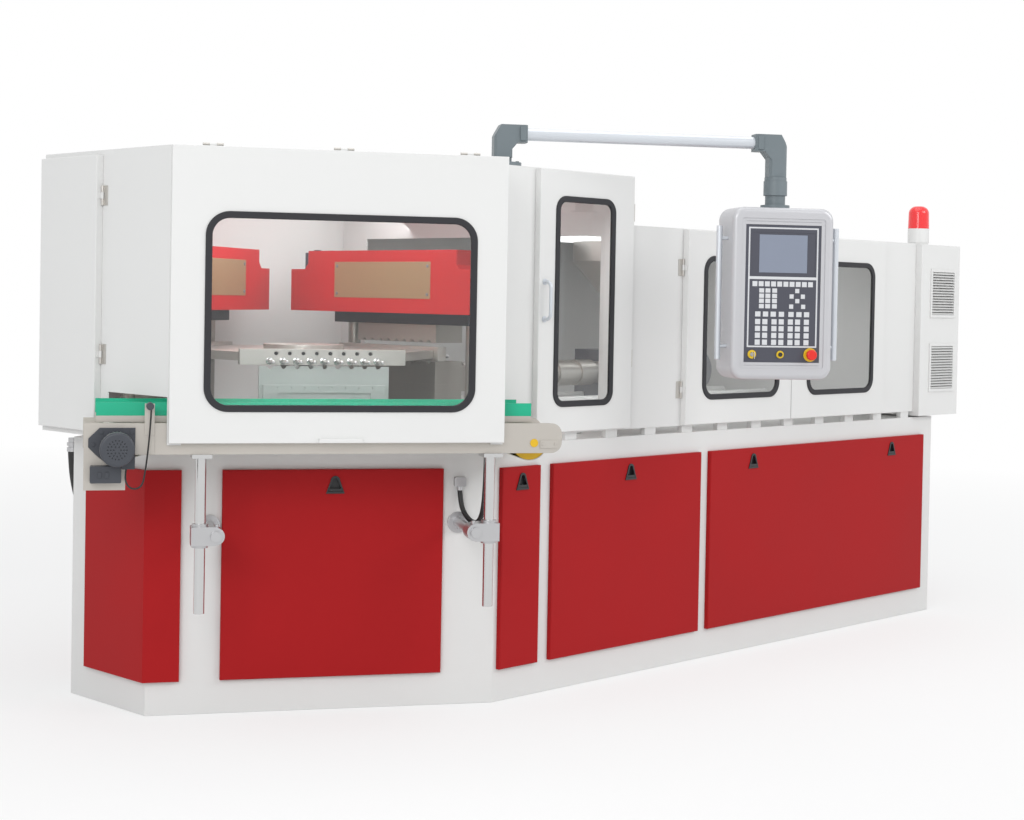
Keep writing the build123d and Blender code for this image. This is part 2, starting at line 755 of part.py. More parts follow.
bar_inner = rod_root - carrier_thick
carrier_corners = [
    tuple(station(angle, 0).from_local_coords((bar_inner, side * (bar_length / 2 - 30), 0)))[:2]
    for angle in (0, 120, 240)
    for side in (-1, 1)
]
with BuildPart() as index_head:
    with BuildSketch(Plane.XY.offset(plate_low)):
        with BuildLine():
            Polyline(*carrier_corners, close=True)
        make_face()
    extrude(amount=plate_high - plate_low)
    for angle in (0, 120, 240):
        with Locations(station(angle, (carrier_low + carrier_high) / 2).location):
            with Locations((rod_root - carrier_thick / 2, 0, 0)):
                Box(carrier_thick, bar_length, carrier_high - carrier_low)
    with Locations((0, 0, (plate_high + hub_high) / 2)):
        Cylinder(hub_radius, hub_high - plate_high)
    with Locations((0, 0, (shaft_top + hub_high) / 2)):
        Cylinder(40 + running, hub_high - shaft_top + 4, mode=Mode.SUBTRACT)
    for angle in (0, 120, 240):
        face = station_face(angle, rod_root)
        with BuildSketch(face):
            with Locations((0, hole_height)):
                with GridLocations(rod_pitch, 0, rod_count - 1, 1):
                    Circle(hole_radius)
        extrude(amount=-8, mode=Mode.SUBTRACT)
save(index_head.part, "index_head")

# Each core rod has a stepped root, a slimmer body and a rounded tip.
rod_length = rod_tip - rod_root
with BuildPart() as rod:
    with BuildSketch(Plane.XZ):
        with BuildLine():
            Polyline((0, 0), (rod_radius + 5, 0), (rod_radius + 5, 6), (rod_radius, 8), (rod_radius, 34),
                     (rod_radius - 2, 38), (rod_radius - 2, rod_length - 5), (rod_radius - 3, rod_length - 2),
                     (rod_radius - 5, rod_length), (0, rod_length), close=True)
        make_face()
    revolve(axis=Axis.Z)
rod_spots = [
    station_face(angle, rod_root).location * Pos((index - (rod_count - 1) / 2) * rod_pitch, rod_height, 0)
    for angle in (0, 120, 240)
    for index in range(rod_count)
]
core_rods = Compound([spot * rod.part.solid() for spot in rod_spots])
save(core_rods, "core_rods")

# Two clamps, for injection and for blowing: a bolster and lower mould on the bed, a
# crosshead on four tie bars, and an upper mould that the ram lifts off.
parting = rod_height - head_drop
groove = rod_radius + 0.6
bolster_high = parting - 95
cross_thick = 60
platen_thick = 70
upper_low = parting + clamp_stroke
upper_high = upper_low + 75
cross_low = upper_high + platen_thick + ram_show
cover_low = cross_low - cover_drop
cover_high = cover_low + cover_tall
shoulder_high = cover_high - shoulder_drop
mould_mid = (mould_inner + mould_outer) / 2
mould_deep = mould_outer - mould_inner
ram_radius = 55
cavity_radius = 17
cavity_start = 545


def mould_half_block(low, high):
    # A mould plate at the origin's station, grooved along each core rod.
    with BuildPart() as block:
        with Locations((mould_mid, 0, (low + high) / 2)):
            Box(mould_deep, 2 * mould_half, high - low)
    return block.part


with BuildPart() as rod_space:
    for index in range(rod_count):
        with BuildSketch(Plane.YZ.offset(mould_inner - 1)):
            with Locations(((index - (rod_count - 1) / 2) * rod_pitch, 0)):
                Circle(rod_radius + 6)
        extrude(amount=3)
        with BuildSketch(Plane.YZ.offset(mould_inner - 1)):
            with Locations(((index - (rod_count - 1) / 2) * rod_pitch, 0)):
                Circle(groove)
        extrude(amount=cavity_start - mould_inner + 1)
        with BuildSketch(Plane.YZ.offset(cavity_start)):
            with Locations(((index - (rod_count - 1) / 2) * rod_pitch, 0)):
                Circle(cavity_radius)
        extrude(amount=rod_tip + 12 - cavity_start)
cavity_lower = Pos(0, 0, parting) * rod_space.part
cavity_upper = Pos(0, 0, upper_low) * rod_space.part
tie_x = mould_mid + 12
nut_high = 30
collar_high = 24
ram_grip = 88
with BuildPart() as bolster:
    with Locations((mould_mid, 0, (bed_top + bolster_high) / 2)):
        Box(mould_deep, 2 * mould_half, bolster_high - bed_top)
with BuildPart() as lower_mould:
    add(mould_half_block(bolster_high, parting))
    add(cavity_lower, mode=Mode.SUBTRACT)
with BuildPart() as tie_bar:
    with Locations((0, 0, (bed_top + cross_low) / 2)):
        Cylinder(tie_radius, cross_low - bed_top)
    with Locations((0, 0, bed_top + collar_high / 2)):
        Cylinder(tie_radius + 14, collar_high)
with BuildPart() as crosshead:
    with Locations((tie_x, 0, cross_low + cross_thick / 2)):
        Box(150, 2 * tie_side + 120, cross_thick)
        Cylinder(ram_radius + running, cross_thick, mode=Mode.SUBTRACT)
with BuildPart() as tie_nut:
    with Locations((tie_x, 0, cross_low + cross_thick + nut_high / 2)):
        Cylinder(tie_radius + 8, nut_high)
cylinder_low = cross_low + cross_thick
with BuildPart() as ram_cylinder:
    with Locations((tie_x, 0, (cylinder_low + cover_high - 4) / 2)):
        Cylinder(72, cover_high - 4 - cylinder_low)
    with Locations((tie_x, 0, cylinder_low + 20)):
        Cylinder(ram_radius + running, 40, mode=Mode.SUBTRACT)
with BuildPart() as upper_half:
    add(mould_half_block(upper_low, upper_high))
    add(cavity_upper, mode=Mode.SUBTRACT)
with BuildPart() as platen:
    with Locations((tie_x, 0, upper_high + platen_thick / 2)):
        Box(150, 2 * tie_side + 100, platen_thick)
    for side in (-1, 1):
        with Locations((tie_x, side * tie_side, upper_high + platen_thick / 2)):
            Cylinder(tie_radius + running, platen_thick, mode=Mode.SUBTRACT)
platen_high = upper_high + platen_thick
with BuildPart() as ram:
    with Locations((tie_x, 0, (platen_high + cross_low + ram_grip) / 2)):
        Cylinder(ram_radius, cross_low + ram_grip - platen_high)
turn_station = Rot(0, 0, 120)
nozzle_reach = 760
nozzle_half = 55
with BuildPart() as nozzle_block:
    with Locations(((mould_outer + nozzle_reach) / 2, 0, barrel_z)):
        Box(nozzle_reach - mould_outer, 420, 2 * nozzle_half)
    with Locations(((mould_outer + nozzle_reach) / 2, 0, (bed_top + barrel_z - nozzle_half) / 2)):
        Box(60, 300, barrel_z - nozzle_half - bed_top)
frame_solids = [bolster.part, lower_mould.part, crosshead.part, ram_cylinder.part]
for side in (-1, 1):
    frame_solids.append(Pos(tie_x, side * tie_side, 0) * tie_bar.part)
    frame_solids.append(Pos(0, side * tie_side, 0) * tie_nut.part)
clamp_solids = [piece.solid() for piece in frame_solids]
clamp_solids += [turn_station * piece for piece in clamp_solids]
save(Compound(clamp_solids + [nozzle_block.part.solid()]), "clamp_frames")
mould_solids = [upper_half.part.solid(), platen.part.solid(), ram.part.solid()]
save(Compound(mould_solids), "injection_mould")
save(Compound([turn_station * piece for piece in mould_solids]), "blow_mould")

cover_wall = 3


def cover_block(inset, low):
    # The cover's outer form, or with an inset the space inside it.
    half = cover_half - inset
    wide = cover_shoulder - inset
    step = shoulder_high - inset
    top = cover_high - inset
    with BuildPart() as block:
        with BuildSketch(Plane.YZ.offset(cover_inner + inset)):
            with BuildLine():
                Polyline((-wide, low), (-wide, step), (-half - 20, step), (-half, step + 20), (-half, top),
                         (half, top), (half, step + 20), (half + 20, step), (wide, step), (wide, low),
                         close=True)
            make_face()
        extrude(amount=cover_outer - cover_inner - 2 * inset)
    return block.part


with BuildPart() as clamp_cover:
    add(cover_block(0, cover_low))
    fillet(clamp_cover.edges().filter_by(Axis.Z), 8)
    add(cover_block(cover_wall, cover_low - 1), mode=Mode.SUBTRACT)
with BuildPart() as clamp_covers:
    add(clamp_cover.part)
    add(turn_station * clamp_cover.part)
save(clamp_covers.part, "clamp_covers")

# Take-off: a comb under the core rods slides outwards on two guide shafts.
comb_at = 514
comb_thick = 12
comb_half = 250
comb_low = parting - 131
foot_plate_low = parting - 165
foot_plate_top = parting - 70
foot_window = (178, 100)
comb_top = parting + 1
guide_z = parting - 53
guide_radius = 12
guide_side = 205
guide_back = 285
stand_at = (425, 470)
stand_top = parting - 25
with BuildPart() as comb:
    face = Plane.YZ.offset(comb_at)
    add(slab(face, -comb_half, comb_half, comb_low, comb_top, comb_thick))
    with BuildSketch(face):
        with Locations((0, parting)):
            with GridLocations(rod_pitch, 0, rod_count, 1):
                Circle(groove)
    extrude(amount=comb_thick, mode=Mode.SUBTRACT)
    with BuildSketch(face):
        with Locations((0, guide_z)):
            with GridLocations(2 * guide_side, 0, 2, 1):
                Circle(guide_radius)
    extrude(amount=guide_back - comb_at)
    front = Plane.YZ.offset(comb_at + comb_thick)
    add(slab(front, -comb_half + 15, comb_half - 15, foot_plate_low, foot_plate_top, comb_thick))
    add(slab(front, -foot_window[0], foot_window[0], foot_plate_low, parting - foot_window[1], comb_thick),
        mode=Mode.SUBTRACT)
    with BuildSketch(front.offset(comb_thick)):
        with Locations((0, foot_plate_top - 11)):
            with GridLocations(rod_pitch, 0, rod_count - 1, 1):
                Circle(3.5)
    extrude(amount=-6, mode=Mode.SUBTRACT)
with BuildPart() as stand:
    face = Plane.YZ.offset(stand_at[0])
    deep = stand_at[1] - stand_at[0]
    add(slab(face, -guide_side - 32, guide_side + 32, bed_top, stand_top, deep))
    add(slab(face, -guide_side + 36, guide_side - 36, bed_top - 1, stand_top - 60, deep), mode=Mode.SUBTRACT)
    with BuildSketch(face):
        with Locations((0, guide_z)):
            with GridLocations(2 * guide_side, 0, 2, 1):
                Circle(guide_radius + running)
    extrude(amount=deep, mode=Mode.SUBTRACT)
turn_takeoff = Rot(0, 0, 240)
stripper_comb = turn_takeoff * comb.part
save(stripper_comb, "stripper_comb")
with BuildPart() as bed_and_stand:
    add(machine_bed.part)
    add(turn_takeoff * stand.part)
save(bed_and_stand.part, "machine_bed")

# Injection unit: a carriage on two rails with the barrel, its screw and the hopper.
carriage_x = (1850, 2130)
hopper_seat = barrel_z + 205
funnel_low = hopper_seat + 95
funnel_high = hopper_seat + 330
rim_low = hopper_seat + 437
rim_high = hopper_seat + 445
hopper_wall = 3
outlet_radius = 46
throat_tall = 105
throat_from = barrel_z + 8
throat_to = hopper_seat + 5
band_count = 6
band_span = barrel_end - barrel_start - 140
with BuildPart() as barrel:
    with BuildSketch(Plane.XZ):
        with BuildLine():
            Polyline((760 + apart, barrel_z), (760 + apart, barrel_z + 14), (778, barrel_z + 32),
                     (barrel_start, barrel_z + barrel_radius), (carriage_x[0], barrel_z + barrel_radius),
                     (carriage_x[0], barrel_z), close=True)
        make_face()
    revolve(axis=Axis((0, 0, barrel_z), (1, 0, 0)))
    for index in range(band_count):
        with Locations((barrel_start + 60 + (index + 0.5) * band_span / band_count, 0, barrel_z)):
            Cylinder(barrel_radius + 9, 0.7 * band_span / band_count, rotation=(0, 90, 0))
    with Locations(((785 + barrel_end + 1) / 2, 0, barrel_z)):
        Cylinder(screw_radius + 0.5, barrel_end + 1 - 785, rotation=(0, 90, 0), mode=Mode.SUBTRACT)
    with Locations((776, 0, barrel_z)):
        Cylinder(4, 40, rotation=(0, 90, 0), mode=Mode.SUBTRACT)
save(barrel.part, "barrel")
motor_end = 2560
bore_end = 2140
with BuildPart() as carriage:
    with Locations(((carriage_x[0] + carriage_x[1]) / 2, 0, barrel_z - 20)):
        Box(carriage_x[1] - carriage_x[0], 2 * rail_y + 90, 250)
    with BuildSketch(Plane.XZ):
        with BuildLine():
            Polyline((carriage_x[1] - 10, barrel_z), (carriage_x[1] - 10, barrel_z + 105), (2155, barrel_z + 105),
                     (2155, barrel_z + 118), (2185, barrel_z + 118), (2185, barrel_z + 100),
                     (2520, barrel_z + 100), (2520, barrel_z + 112), (motor_end, barrel_z + 112),
                     (motor_end, barrel_z), close=True)
        make_face()
    revolve(axis=Axis((0, 0, barrel_z), (1, 0, 0)))
    with Locations((hopper_x, 0, hopper_seat - 0.5 - throat_tall / 2)):
        Box(150, 150, throat_tall)
    with Locations(((carriage_x[0] + bore_end) / 2, 0, barrel_z)):
        Cylinder(screw_radius + 0.5, bore_end - carriage_x[0], rotation=(0, 90, 0), mode=Mode.SUBTRACT)
    with Locations((hopper_x, 0, (throat_from + throat_to) / 2)):
        Box(60, 36, throat_to - throat_from, mode=Mode.SUBTRACT)
    for side in (-1, 1):
        with Locations(((carriage_x[0] + carriage_x[1]) / 2, side * rail_y, rail_z)):
            Box(carriage_x[1] - carriage_x[0], 2 * rail_radius + 1, 2 * rail_radius + 1, mode=Mode.SUBTRACT)
save(carriage.part, "carriage")
screw_end = 2120
flight_pitch = 44
flight_count = 23
flight_start = 840
with BuildPart() as screw:
    with BuildSketch(Plane.XZ):
        with BuildLine():
            Polyline((790, barrel_z), (812, barrel_z + 14), (screw_end, barrel_z + 14), (screw_end, barrel_z),
                     close=True)
        make_face()
    revolve(axis=Axis((0, 0, barrel_z), (1, 0, 0)))
    for index in range(flight_count):
        with Locations((flight_start + index * flight_pitch, 0, barrel_z)):
            Cylinder(screw_radius - 0.4, 6, rotation=(0, 90 + 8, 0))
save(screw.part, "screw")
with BuildPart() as hopper:
    with BuildSketch(Plane(origin=(hopper_x, 0, 0), x_dir=(1, 0, 0), z_dir=(0, -1, 0))):
        with BuildLine():
            Polyline((outlet_radius, hopper_seat), (outlet_radius, funnel_low), (hopper_radius, funnel_high),
                     (hopper_radius, rim_low), (hopper_radius + 6, rim_low), (hopper_radius + 6, rim_high),
                     (hopper_radius - hopper_wall, rim_high), (hopper_radius - hopper_wall, funnel_high + 2),
                     (outlet_radius - hopper_wall, funnel_low + 2), (outlet_radius - hopper_wall, hopper_seat),
                     close=True)
        make_face()
    revolve(axis=Axis((hopper_x, 0, 0), (0, 0, 1)))
    with BuildSketch(Plane.XY.offset(hopper_seat)):
        with Locations((hopper_x, 0)):
            Rectangle(140, 140)
            Circle(44, mode=Mode.SUBTRACT)
    extrude(amount=12)
save(hopper.part, "hopper")

# Discharge conveyor: side plates, cross bars, belt on two drums, guides and motor.
drum_z = 1022
drum_start = conveyor_start + 113
drum_end = conveyor_end - 105
shaft_r = 15
plate_fillet = 40
end_plate_right = -90
end_plate_seam = 8
end_plate_low = 863
fold = 18
cross_count = 4
tail_cover = (1392, 1462, 1003, 1032)
bracket_span = (-27, 7)
bracket_low = 1053
sensor_u = -10
sensor_z = 1155
sensor_radius = 13
sensor_thread = 6


def side_plate(out):
    with BuildPart() as plate:
        add(slab(slant_face.offset(out), conveyor_start, conveyor_end, conveyor_low, conveyor_high, conveyor_plate))
        fillet(plate.edges().filter_by(Axis((0, 0, 0), slant_out)).sort_by(Axis((0, 0, 0), slant_dir))[-2:],
               plate_fillet)
        with BuildSketch(slant_face.offset(out)):
            with Locations((drum_start, drum_z), (drum_end, drum_z)):
                Circle(shaft_r + running)
        extrude(amount=conveyor_plate, mode=Mode.SUBTRACT)
    return plate.part


far_plate = conveyor_far
near_plate = conveyor_near - conveyor_plate
post_at = ((171, 270), (1215, 270))
with BuildPart() as conveyor_frame:
    add(side_plate(far_plate))
    add(side_plate(near_plate))
    for index in range(cross_count):
        along = drum_start + 190 + index * (drum_end - drum_start - 380) / (cross_count - 1)
        add(slab(slant_face.offset(far_plate + 1), along - 15, along + 15, 1030, 1060,
                 near_plate - far_plate))
    add(slab(slant_face.offset(near_plate - fold + 1), conveyor_start, conveyor_end - plate_fillet - 5,
             conveyor_high - conveyor_plate, conveyor_high, fold))
    # An L-shaped plate over the drive end hangs down behind the motor and the switches.
    with BuildSketch(slant_face.offset(near_plate + conveyor_plate)):
        with BuildLine():
            Polyline((conveyor_start, end_plate_low), (end_plate_right, end_plate_low),
                     (end_plate_right, conveyor_low), (end_plate_seam, conveyor_low),
                     (end_plate_seam, conveyor_high - 2), (conveyor_start, conveyor_high - 2), close=True)
        make_face()
    extrude(amount=conveyor_plate)
    add(slab(slant_face.offset(near_plate + conveyor_plate), conveyor_start,
             conveyor_start + conveyor_plate, end_plate_low, conveyor_low - 1, -fold))
    add(slab(slant_face.offset(near_plate + conveyor_plate), conveyor_start, end_plate_right,
             end_plate_low, end_plate_low + conveyor_plate, -fold))
    # A bevelled cover at the tail end, with its two screws.
    add(slab(slant_face.offset(near_plate + conveyor_plate), tail_cover[0], tail_cover[1], tail_cover[2],
             tail_cover[3], 4))
    with BuildSketch(slant_face.offset(near_plate + conveyor_plate + 4)):
        with Locations(((tail_cover[0] + tail_cover[1]) / 2, (tail_cover[2] + tail_cover[3]) / 2)):
            with GridLocations(46, 0, 2, 1):
                Circle(5)
    extrude(amount=3)
    # The sensor's bracket stands on the end plate.
    add(slab(slant_face.offset(near_plate + 2 * conveyor_plate), bracket_span[0], bracket_span[1],
             bracket_low, sensor_z + 8, conveyor_plate))
    with BuildSketch(slant_face.offset(near_plate)):
        with Locations((drum_start, drum_z)):
            Circle(shaft_r + running)
        with Locations((sensor_u, sensor_z)):
            Circle(sensor_thread + running)
    extrude(amount=12, mode=Mode.SUBTRACT)
return_z = drum_z - 30


def belt_outline(radius):
    # The belt's path seen from the front: over both drums and up over two snub rolls.
    low_x = radius * cos(radians(-90) - radians(20))
    low_z = radius * sin(radians(-90) - radians(20))
    slope = tan(radians(20))
    level = return_z - radius + drum_radius
    run = (level - low_z - drum_z) / slope
    with BuildSketch() as outline:
        with BuildLine():
            Line((drum_start, drum_z + radius), (drum_end, drum_z + radius))
            ThreePointArc((drum_end, drum_z + radius), (drum_end + radius, drum_z),
                          (drum_end + low_x, drum_z + low_z))
            Polyline((drum_end + low_x, drum_z + low_z), (drum_end + low_x - run, level),
                     (drum_start - low_x + run, level), (drum_start - low_x, drum_z + low_z))
            ThreePointArc((drum_start - low_x, drum_z + low_z), (drum_start - radius, drum_z),
                          (drum_start, drum_z + radius))
        make_face()
    return outline.sketch


belt_plane = slant_face.offset(belt_far)
with BuildPart() as conveyor_belt:
    extrude(belt_plane * belt_outline(drum_radius + belt_thick), amount=belt_near - belt_far)
    extrude(belt_plane * belt_outline(drum_radius), amount=belt_near - belt_far, mode=Mode.SUBTRACT)
save(conveyor_belt.part, "conveyor_belt")


def drum(along, reach_out):
    with BuildPart() as roller:
        with BuildSketch(belt_plane.offset(2)):
            with Locations((along, drum_z)):
                Circle(drum_radius - apart)
        extrude(amount=belt_near - belt_far - 4)
        with BuildSketch(slant_face.offset(far_plate - 2)):
            with Locations((along, drum_z)):
                Circle(shaft_r)
        extrude(amount=reach_out - far_plate + 2)
    return roller.part


save(drum(drum_start, near_plate + 8), "drive_drum")
save(drum(drum_end, near_plate + conveyor_plate + 2), "tail_drum")

guide_start = -190
guide_strip = (1117, 1164)
with BuildPart() as belt_guides:
    for out in (conveyor_far + 8, 256):
        add(slab(slant_face.offset(out), guide_start, drum_end, guide_strip[0] - 3, guide_strip[1], 8))
with BuildPart() as guide_rails:
    for out, low, depth in ((conveyor_far + 2, 1080, 6), (264, 1095, 5)):
        add(slab(slant_face.offset(out), guide_start, drum_end, low, guide_strip[0], depth))
    for index in range(6):
        along = index * 245
        add(slab(slant_face.offset(264), along - 10, along + 10, conveyor_low + 40, 1096, 5))
        add(slab(slant_face.offset(264), along - 10, along + 10, conveyor_low + 40, conveyor_low + 52,
                 near_plate - 264))
save(belt_guides.part, "belt_guides")
# Height posts of the conveyor and their clamps on two arms from the base.
arm_at = (224, 1158)
arm_z = 695
clamp_z = (662, 728)
with BuildPart() as conveyor_posts:
    for along, out in post_at:
        with BuildSketch(slant_top(post_low)):
            with Locations((along, -out)):
                Circle(post_radius)
        extrude(amount=conveyor_low - post_low)
        with BuildSketch(slant_top(conveyor_low - 14)):
            with Locations((along, -(out + near_plate) / 2 + 8)):
                Rectangle(70, near_plate - out + 46)
        extrude(amount=14)
save(conveyor_posts.part, "conveyor_posts")
clamp_half = 36
clamp_end = 33
flange_radius = 40
ring_high = 9
with BuildPart() as post_clamps:
    for (along, out), arm in zip(post_at, arm_at):
        # A round flange with three screws carries the arm.
        with BuildSketch(slant_face):
            with Locations((arm, arm_z)):
                Circle(flange_radius)
        extrude(amount=9)
        with BuildSketch(slant_face.offset(9)):
            with Locations((arm, arm_z)):
                with PolarLocations(30, 3, start_angle=30):
                    Circle(5)
        extrude(amount=5)
        with BuildSketch(slant_face):
            with Locations((arm, arm_z)):
                Circle(post_radius)
        extrude(amount=out + clamp_half + 14)
        # The cross clamp is round at the arm and square at the post.
        toward = (along - arm) / abs(along - arm)
        with BuildSketch(slant_face.offset(out - clamp_half)):
            with Locations((arm, arm_z)):
                Circle(post_radius + 12)
            with Locations(((along + arm + toward * clamp_end) / 2, arm_z)):
                Rectangle(abs(along - arm) + clamp_end, clamp_z[1] - clamp_z[0])
        extrude(amount=2 * clamp_half)
        with BuildSketch(slant_top(arm_z)):
            with Locations((arm - toward * 4, -out - 16)):
                Circle(7)
        extrude(amount=post_radius + 22)
        for low in (clamp_z[0] - ring_high, clamp_z[1] - 1):
            with BuildSketch(slant_top(low)):
                with Locations((along, -out)):
                    Circle(post_radius + 9)
            extrude(amount=ring_high + 1)
        with BuildSketch(slant_top(clamp_z[0] - 30)):
            with Locations((along, -out)):
                Circle(post_radius + running)
        extrude(amount=clamp_z[1] - clamp_z[0] + 60, mode=Mode.SUBTRACT)

# Conveyor motor with its flange plate, fan cover and terminal box, and a switch box.
motor_z = 1012
motor_along = conveyor_start + 110
motor_radius = 59
flange_plan = [(-216, 1012), (-216, 1042), (-178, 1079), (-58, 1079), (-58, 952), (-150, 952), (-190, 985)]
flange_bolts = [(-200, 1022), (-172, 1064), (-70, 1064)]
terminal = (-104, -60, 940, 998)
cable_out = 352
motor_face = slant_face.offset(near_plate + 2 * conveyor_plate)
with BuildPart() as motor_body:
    with BuildSketch(motor_face):
        with BuildLine():
            Polyline(*flange_plan, close=True)
        make_face()
    extrude(amount=8)
    with BuildSketch(motor_face.offset(8)):
        with Locations(*flange_bolts):
            Circle(6)
    extrude(amount=5)
    with BuildSketch(motor_face.offset(8)):
        with Locations((motor_along, motor_z)):
            Circle(motor_radius - 8)
    extrude(amount=84)
    with BuildSketch(motor_face.offset(16)):
        with Locations((motor_along, motor_z)):
            with PolarLocations(motor_radius - 7, 28):
                Rectangle(10, 3)
    extrude(amount=66)
    with BuildSketch(motor_face.offset(82)):
        with Locations((motor_along, motor_z)):
            Circle(motor_radius)
    extrude(amount=38)
    fillet(motor_body.faces().sort_by(Axis(motor_face.origin, motor_face.z_dir))[-1].edges(), 8)
    with BuildSketch(motor_face.offset(116)):
        with Locations((motor_along, motor_z)):
            for radius, count in ((12, 6), (22, 12), (32, 18)):
                with PolarLocations(radius, count):
                    Rectangle(5, 3)
    extrude(amount=5, mode=Mode.SUBTRACT)
    add(slab(motor_face.offset(10), *terminal, 44))
    with BuildSketch(motor_face):
        with Locations((drum_start, drum_z)):
            Circle(shaft_r + 3)
    extrude(amount=6, mode=Mode.SUBTRACT)
switch_box = (-210, -105, 892, 950)
rockers = (-177, -153)
with BuildPart() as switch_body:
    with BuildSketch(motor_face):
        with Locations(((switch_box[0] + switch_box[1]) / 2, (switch_box[2] + switch_box[3]) / 2)):
            RectangleRounded(switch_box[1] - switch_box[0], switch_box[3] - switch_box[2], 5)
    extrude(amount=48)
    for middle in rockers:
        add(slab(motor_face.offset(47), middle - 6, middle + 6, 910, 930, 5))

# Bottle sensor on its bracket, with its cable to the terminal box.
with BuildPart() as bottle_sensor:
    with BuildSketch(motor_face.offset(conveyor_plate)):
        with Locations((sensor_u, sensor_z)):
            Circle(sensor_radius)
    extrude(amount=cable_out + 8 - (near_plate + 3 * conveyor_plate))
    with BuildSketch(slant_face.offset(near_plate + conveyor_plate - 10)):
        with Locations((sensor_u, sensor_z)):
            Circle(sensor_thread)
    extrude(amount=14 + 2 * conveyor_plate)
drive_solids = [motor_body.part.solid(), switch_body.part.solid(), bottle_sensor.part.solid()]
save(Compound(drive_solids), "conveyor_motor")


def cord_tube(points, diameter, name, fittings):
    # A tube of straight runs and tangent arcs, each arc as large as its runs allow. It
    # reaches a little into its fittings and is cut flush with them.
    with BuildPart() as tube:
        with BuildLine() as route:
            previous = points[0]
            for index in range(1, len(points) - 1):
                before = points[index] - points[index - 1]
                after = points[index + 1] - points[index]
                half_turn = radians(before.get_angle(after)) / 2
                reach = 0.45 * min(before.length, after.length)
                radius = reach / tan(half_turn)
                print(f"{name} radius {radius:.1f}")
                arc_start = points[index] - before.normalized() * reach
                arc_end = points[index] + after.normalized() * reach
                Line(previous, arc_start)
                bisector = (after.normalized() - before.normalized()).normalized()
                middle = points[index] + bisector * (radius / cos(half_turn) - radius)
                ThreePointArc(arc_start, middle, arc_end)
                previous = arc_end
            Line(previous, points[-1])
        with BuildSketch(Plane(origin=points[0], z_dir=points[1] - points[0])):
            Circle(diameter / 2)
        sweep()
        for fitting in fittings:
            add(fitting, mode=Mode.SUBTRACT)
    save(tube.part, name)
    print(f"{name} volume {tube.part.volume / (route.wire().length * radians(180) * diameter**2 / 4):.4f}")


sensor_cable_size = 6
cord_seat = 2
cable_top = sensor_z - sensor_radius + 2 * cord_seat
sensor_route = [
    slant_point(-6, 346, cable_top), slant_point(-8.1, 346.5, 1096), slant_point(-11.9, 347.5, 1042),
    slant_point(-17.2, 349, 986), slant_point(-22.8, 350, 941), slant_point(-27.8, 351, 909),
    slant_point(-31.2, 351.5, 891.5), slant_point(-40.7, 352, 876.2), slant_point(-57.4, 352, 869.5),
    slant_point(-74.9, 352, 873.8), slant_point(-86.5, 352, 887.6), slant_point(-91.2, 352, 905),
    slant_point(-90.4, 352, 927), slant_point(-88, 352, terminal[2] + cord_seat),
]
cord_tube(sensor_route, sensor_cable_size, "sensor_cable", (bottle_sensor.part, motor_body.part))

# A flexible conduit leaves the base beside the right post and feeds the conveyor.
conduit_size = 19
conduit_box = (1140, 1184, 832, 868)
with BuildPart() as conduit_gland:
    add(slab(slant_face, *conduit_box, 26))
    fillet(conduit_gland.edges().filter_by(Axis((0, 0, 0), slant_out)), 6)
    with BuildSketch(slant_top(conduit_box[2] - 14)):
        with Locations((1162, -14)):
            Circle(11.5)
    extrude(amount=15)
conduit_u = 1221
conduit_out = 190
with BuildPart() as conduit_socket:
    with BuildSketch(slant_top(conveyor_low - 28)):
        with Locations((conduit_u, -conduit_out)):
            Circle(12)
    extrude(amount=28)
    add(slab(slant_face.offset(conveyor_far), conduit_u - 25, conduit_u + 25, conveyor_low - 3, conveyor_low,
             conduit_out + 20 - conveyor_far))
conduit_route = [
    slant_point(1162, 14, conduit_box[2] - 14 + cord_seat), slant_point(1164, 20, 776), slant_point(1172, 38, 738),
    slant_point(1187, 66, 712), slant_point(1200, 104, 704), slant_point(1207, 137.5, 712.7),
    slant_point(1212, 164.6, 735.8), slant_point(1215.5, 183, 776), slant_point(1218, 188, 829),
    slant_point(1220, 189.5, 892), slant_point(conduit_u, conduit_out, conveyor_low - 28 + cord_seat),
]
cord_tube(conduit_route, conduit_size, "conduit", (conduit_gland.part, conduit_socket.part))
with BuildPart() as conveyor_body:
    add(conveyor_frame.part)
    add(guide_rails.part)
    add(conduit_socket.part)
save(conveyor_body.part, "conveyor_frame")

# The drain of the bed: an elbow on the rear of the nose and a hose back into the base.
rear_base_face = Plane(origin=(nose_x, nose_half, 0), x_dir=(-slant_dir.X, slant_dir.Y, 0),
                       z_dir=(slant_out.X, -slant_out.Y, 0))


def rear_point(along, out, height):
    # A point given along the rear slanting face, outwards from it and up.
    point = slant_point(along, out, height)
    return Vector(point.X, -point.Y, height)


drain_at = 60
drain_out = 34
drain_size = 40
drain_top = 978
drain_low = 925


def upright(center, low, high, radius):
    with BuildPart() as column:
        with BuildSketch(Plane.XY.offset(low)):
            with Locations((center.X, center.Y)):
                Circle(radius)
        extrude(amount=high - low)
    return column.part


drain_spot = rear_point(drain_at, drain_out, 0)
with BuildPart() as drain_pipe:
    add(upright(drain_spot, drain_low, drain_top, 19))
    add(upright(drain_spot, drain_low, drain_low + 16, 24))
    add(upright(drain_spot, drain_top - 30, drain_top - 18, 24))
    with BuildSketch(rear_base_face):
        with Locations((-drain_at, drain_low + 28)):
            Circle(14)
    extrude(amount=drain_out)
fitting_solids = post_clamps.part.solids() + [conduit_gland.part.solid(), drain_pipe.part.solid()]
save(Compound(fitting_solids), "post_clamps")
drain_route = [
    rear_point(drain_at, drain_out, drain_low + cord_seat), rear_point(66, 34, 868), rear_point(84, 33.5, 800),
    rear_point(114, 32, 735), rear_point(152, 30, 680), rear_point(190, 28, 628), rear_point(218, 26.5, 560),
    rear_point(232, 26, 480), rear_point(238, 26, 390), rear_point(241, 26.5, 290), rear_point(242, 27.5, 170),
    rear_point(242, 29, 60),
]
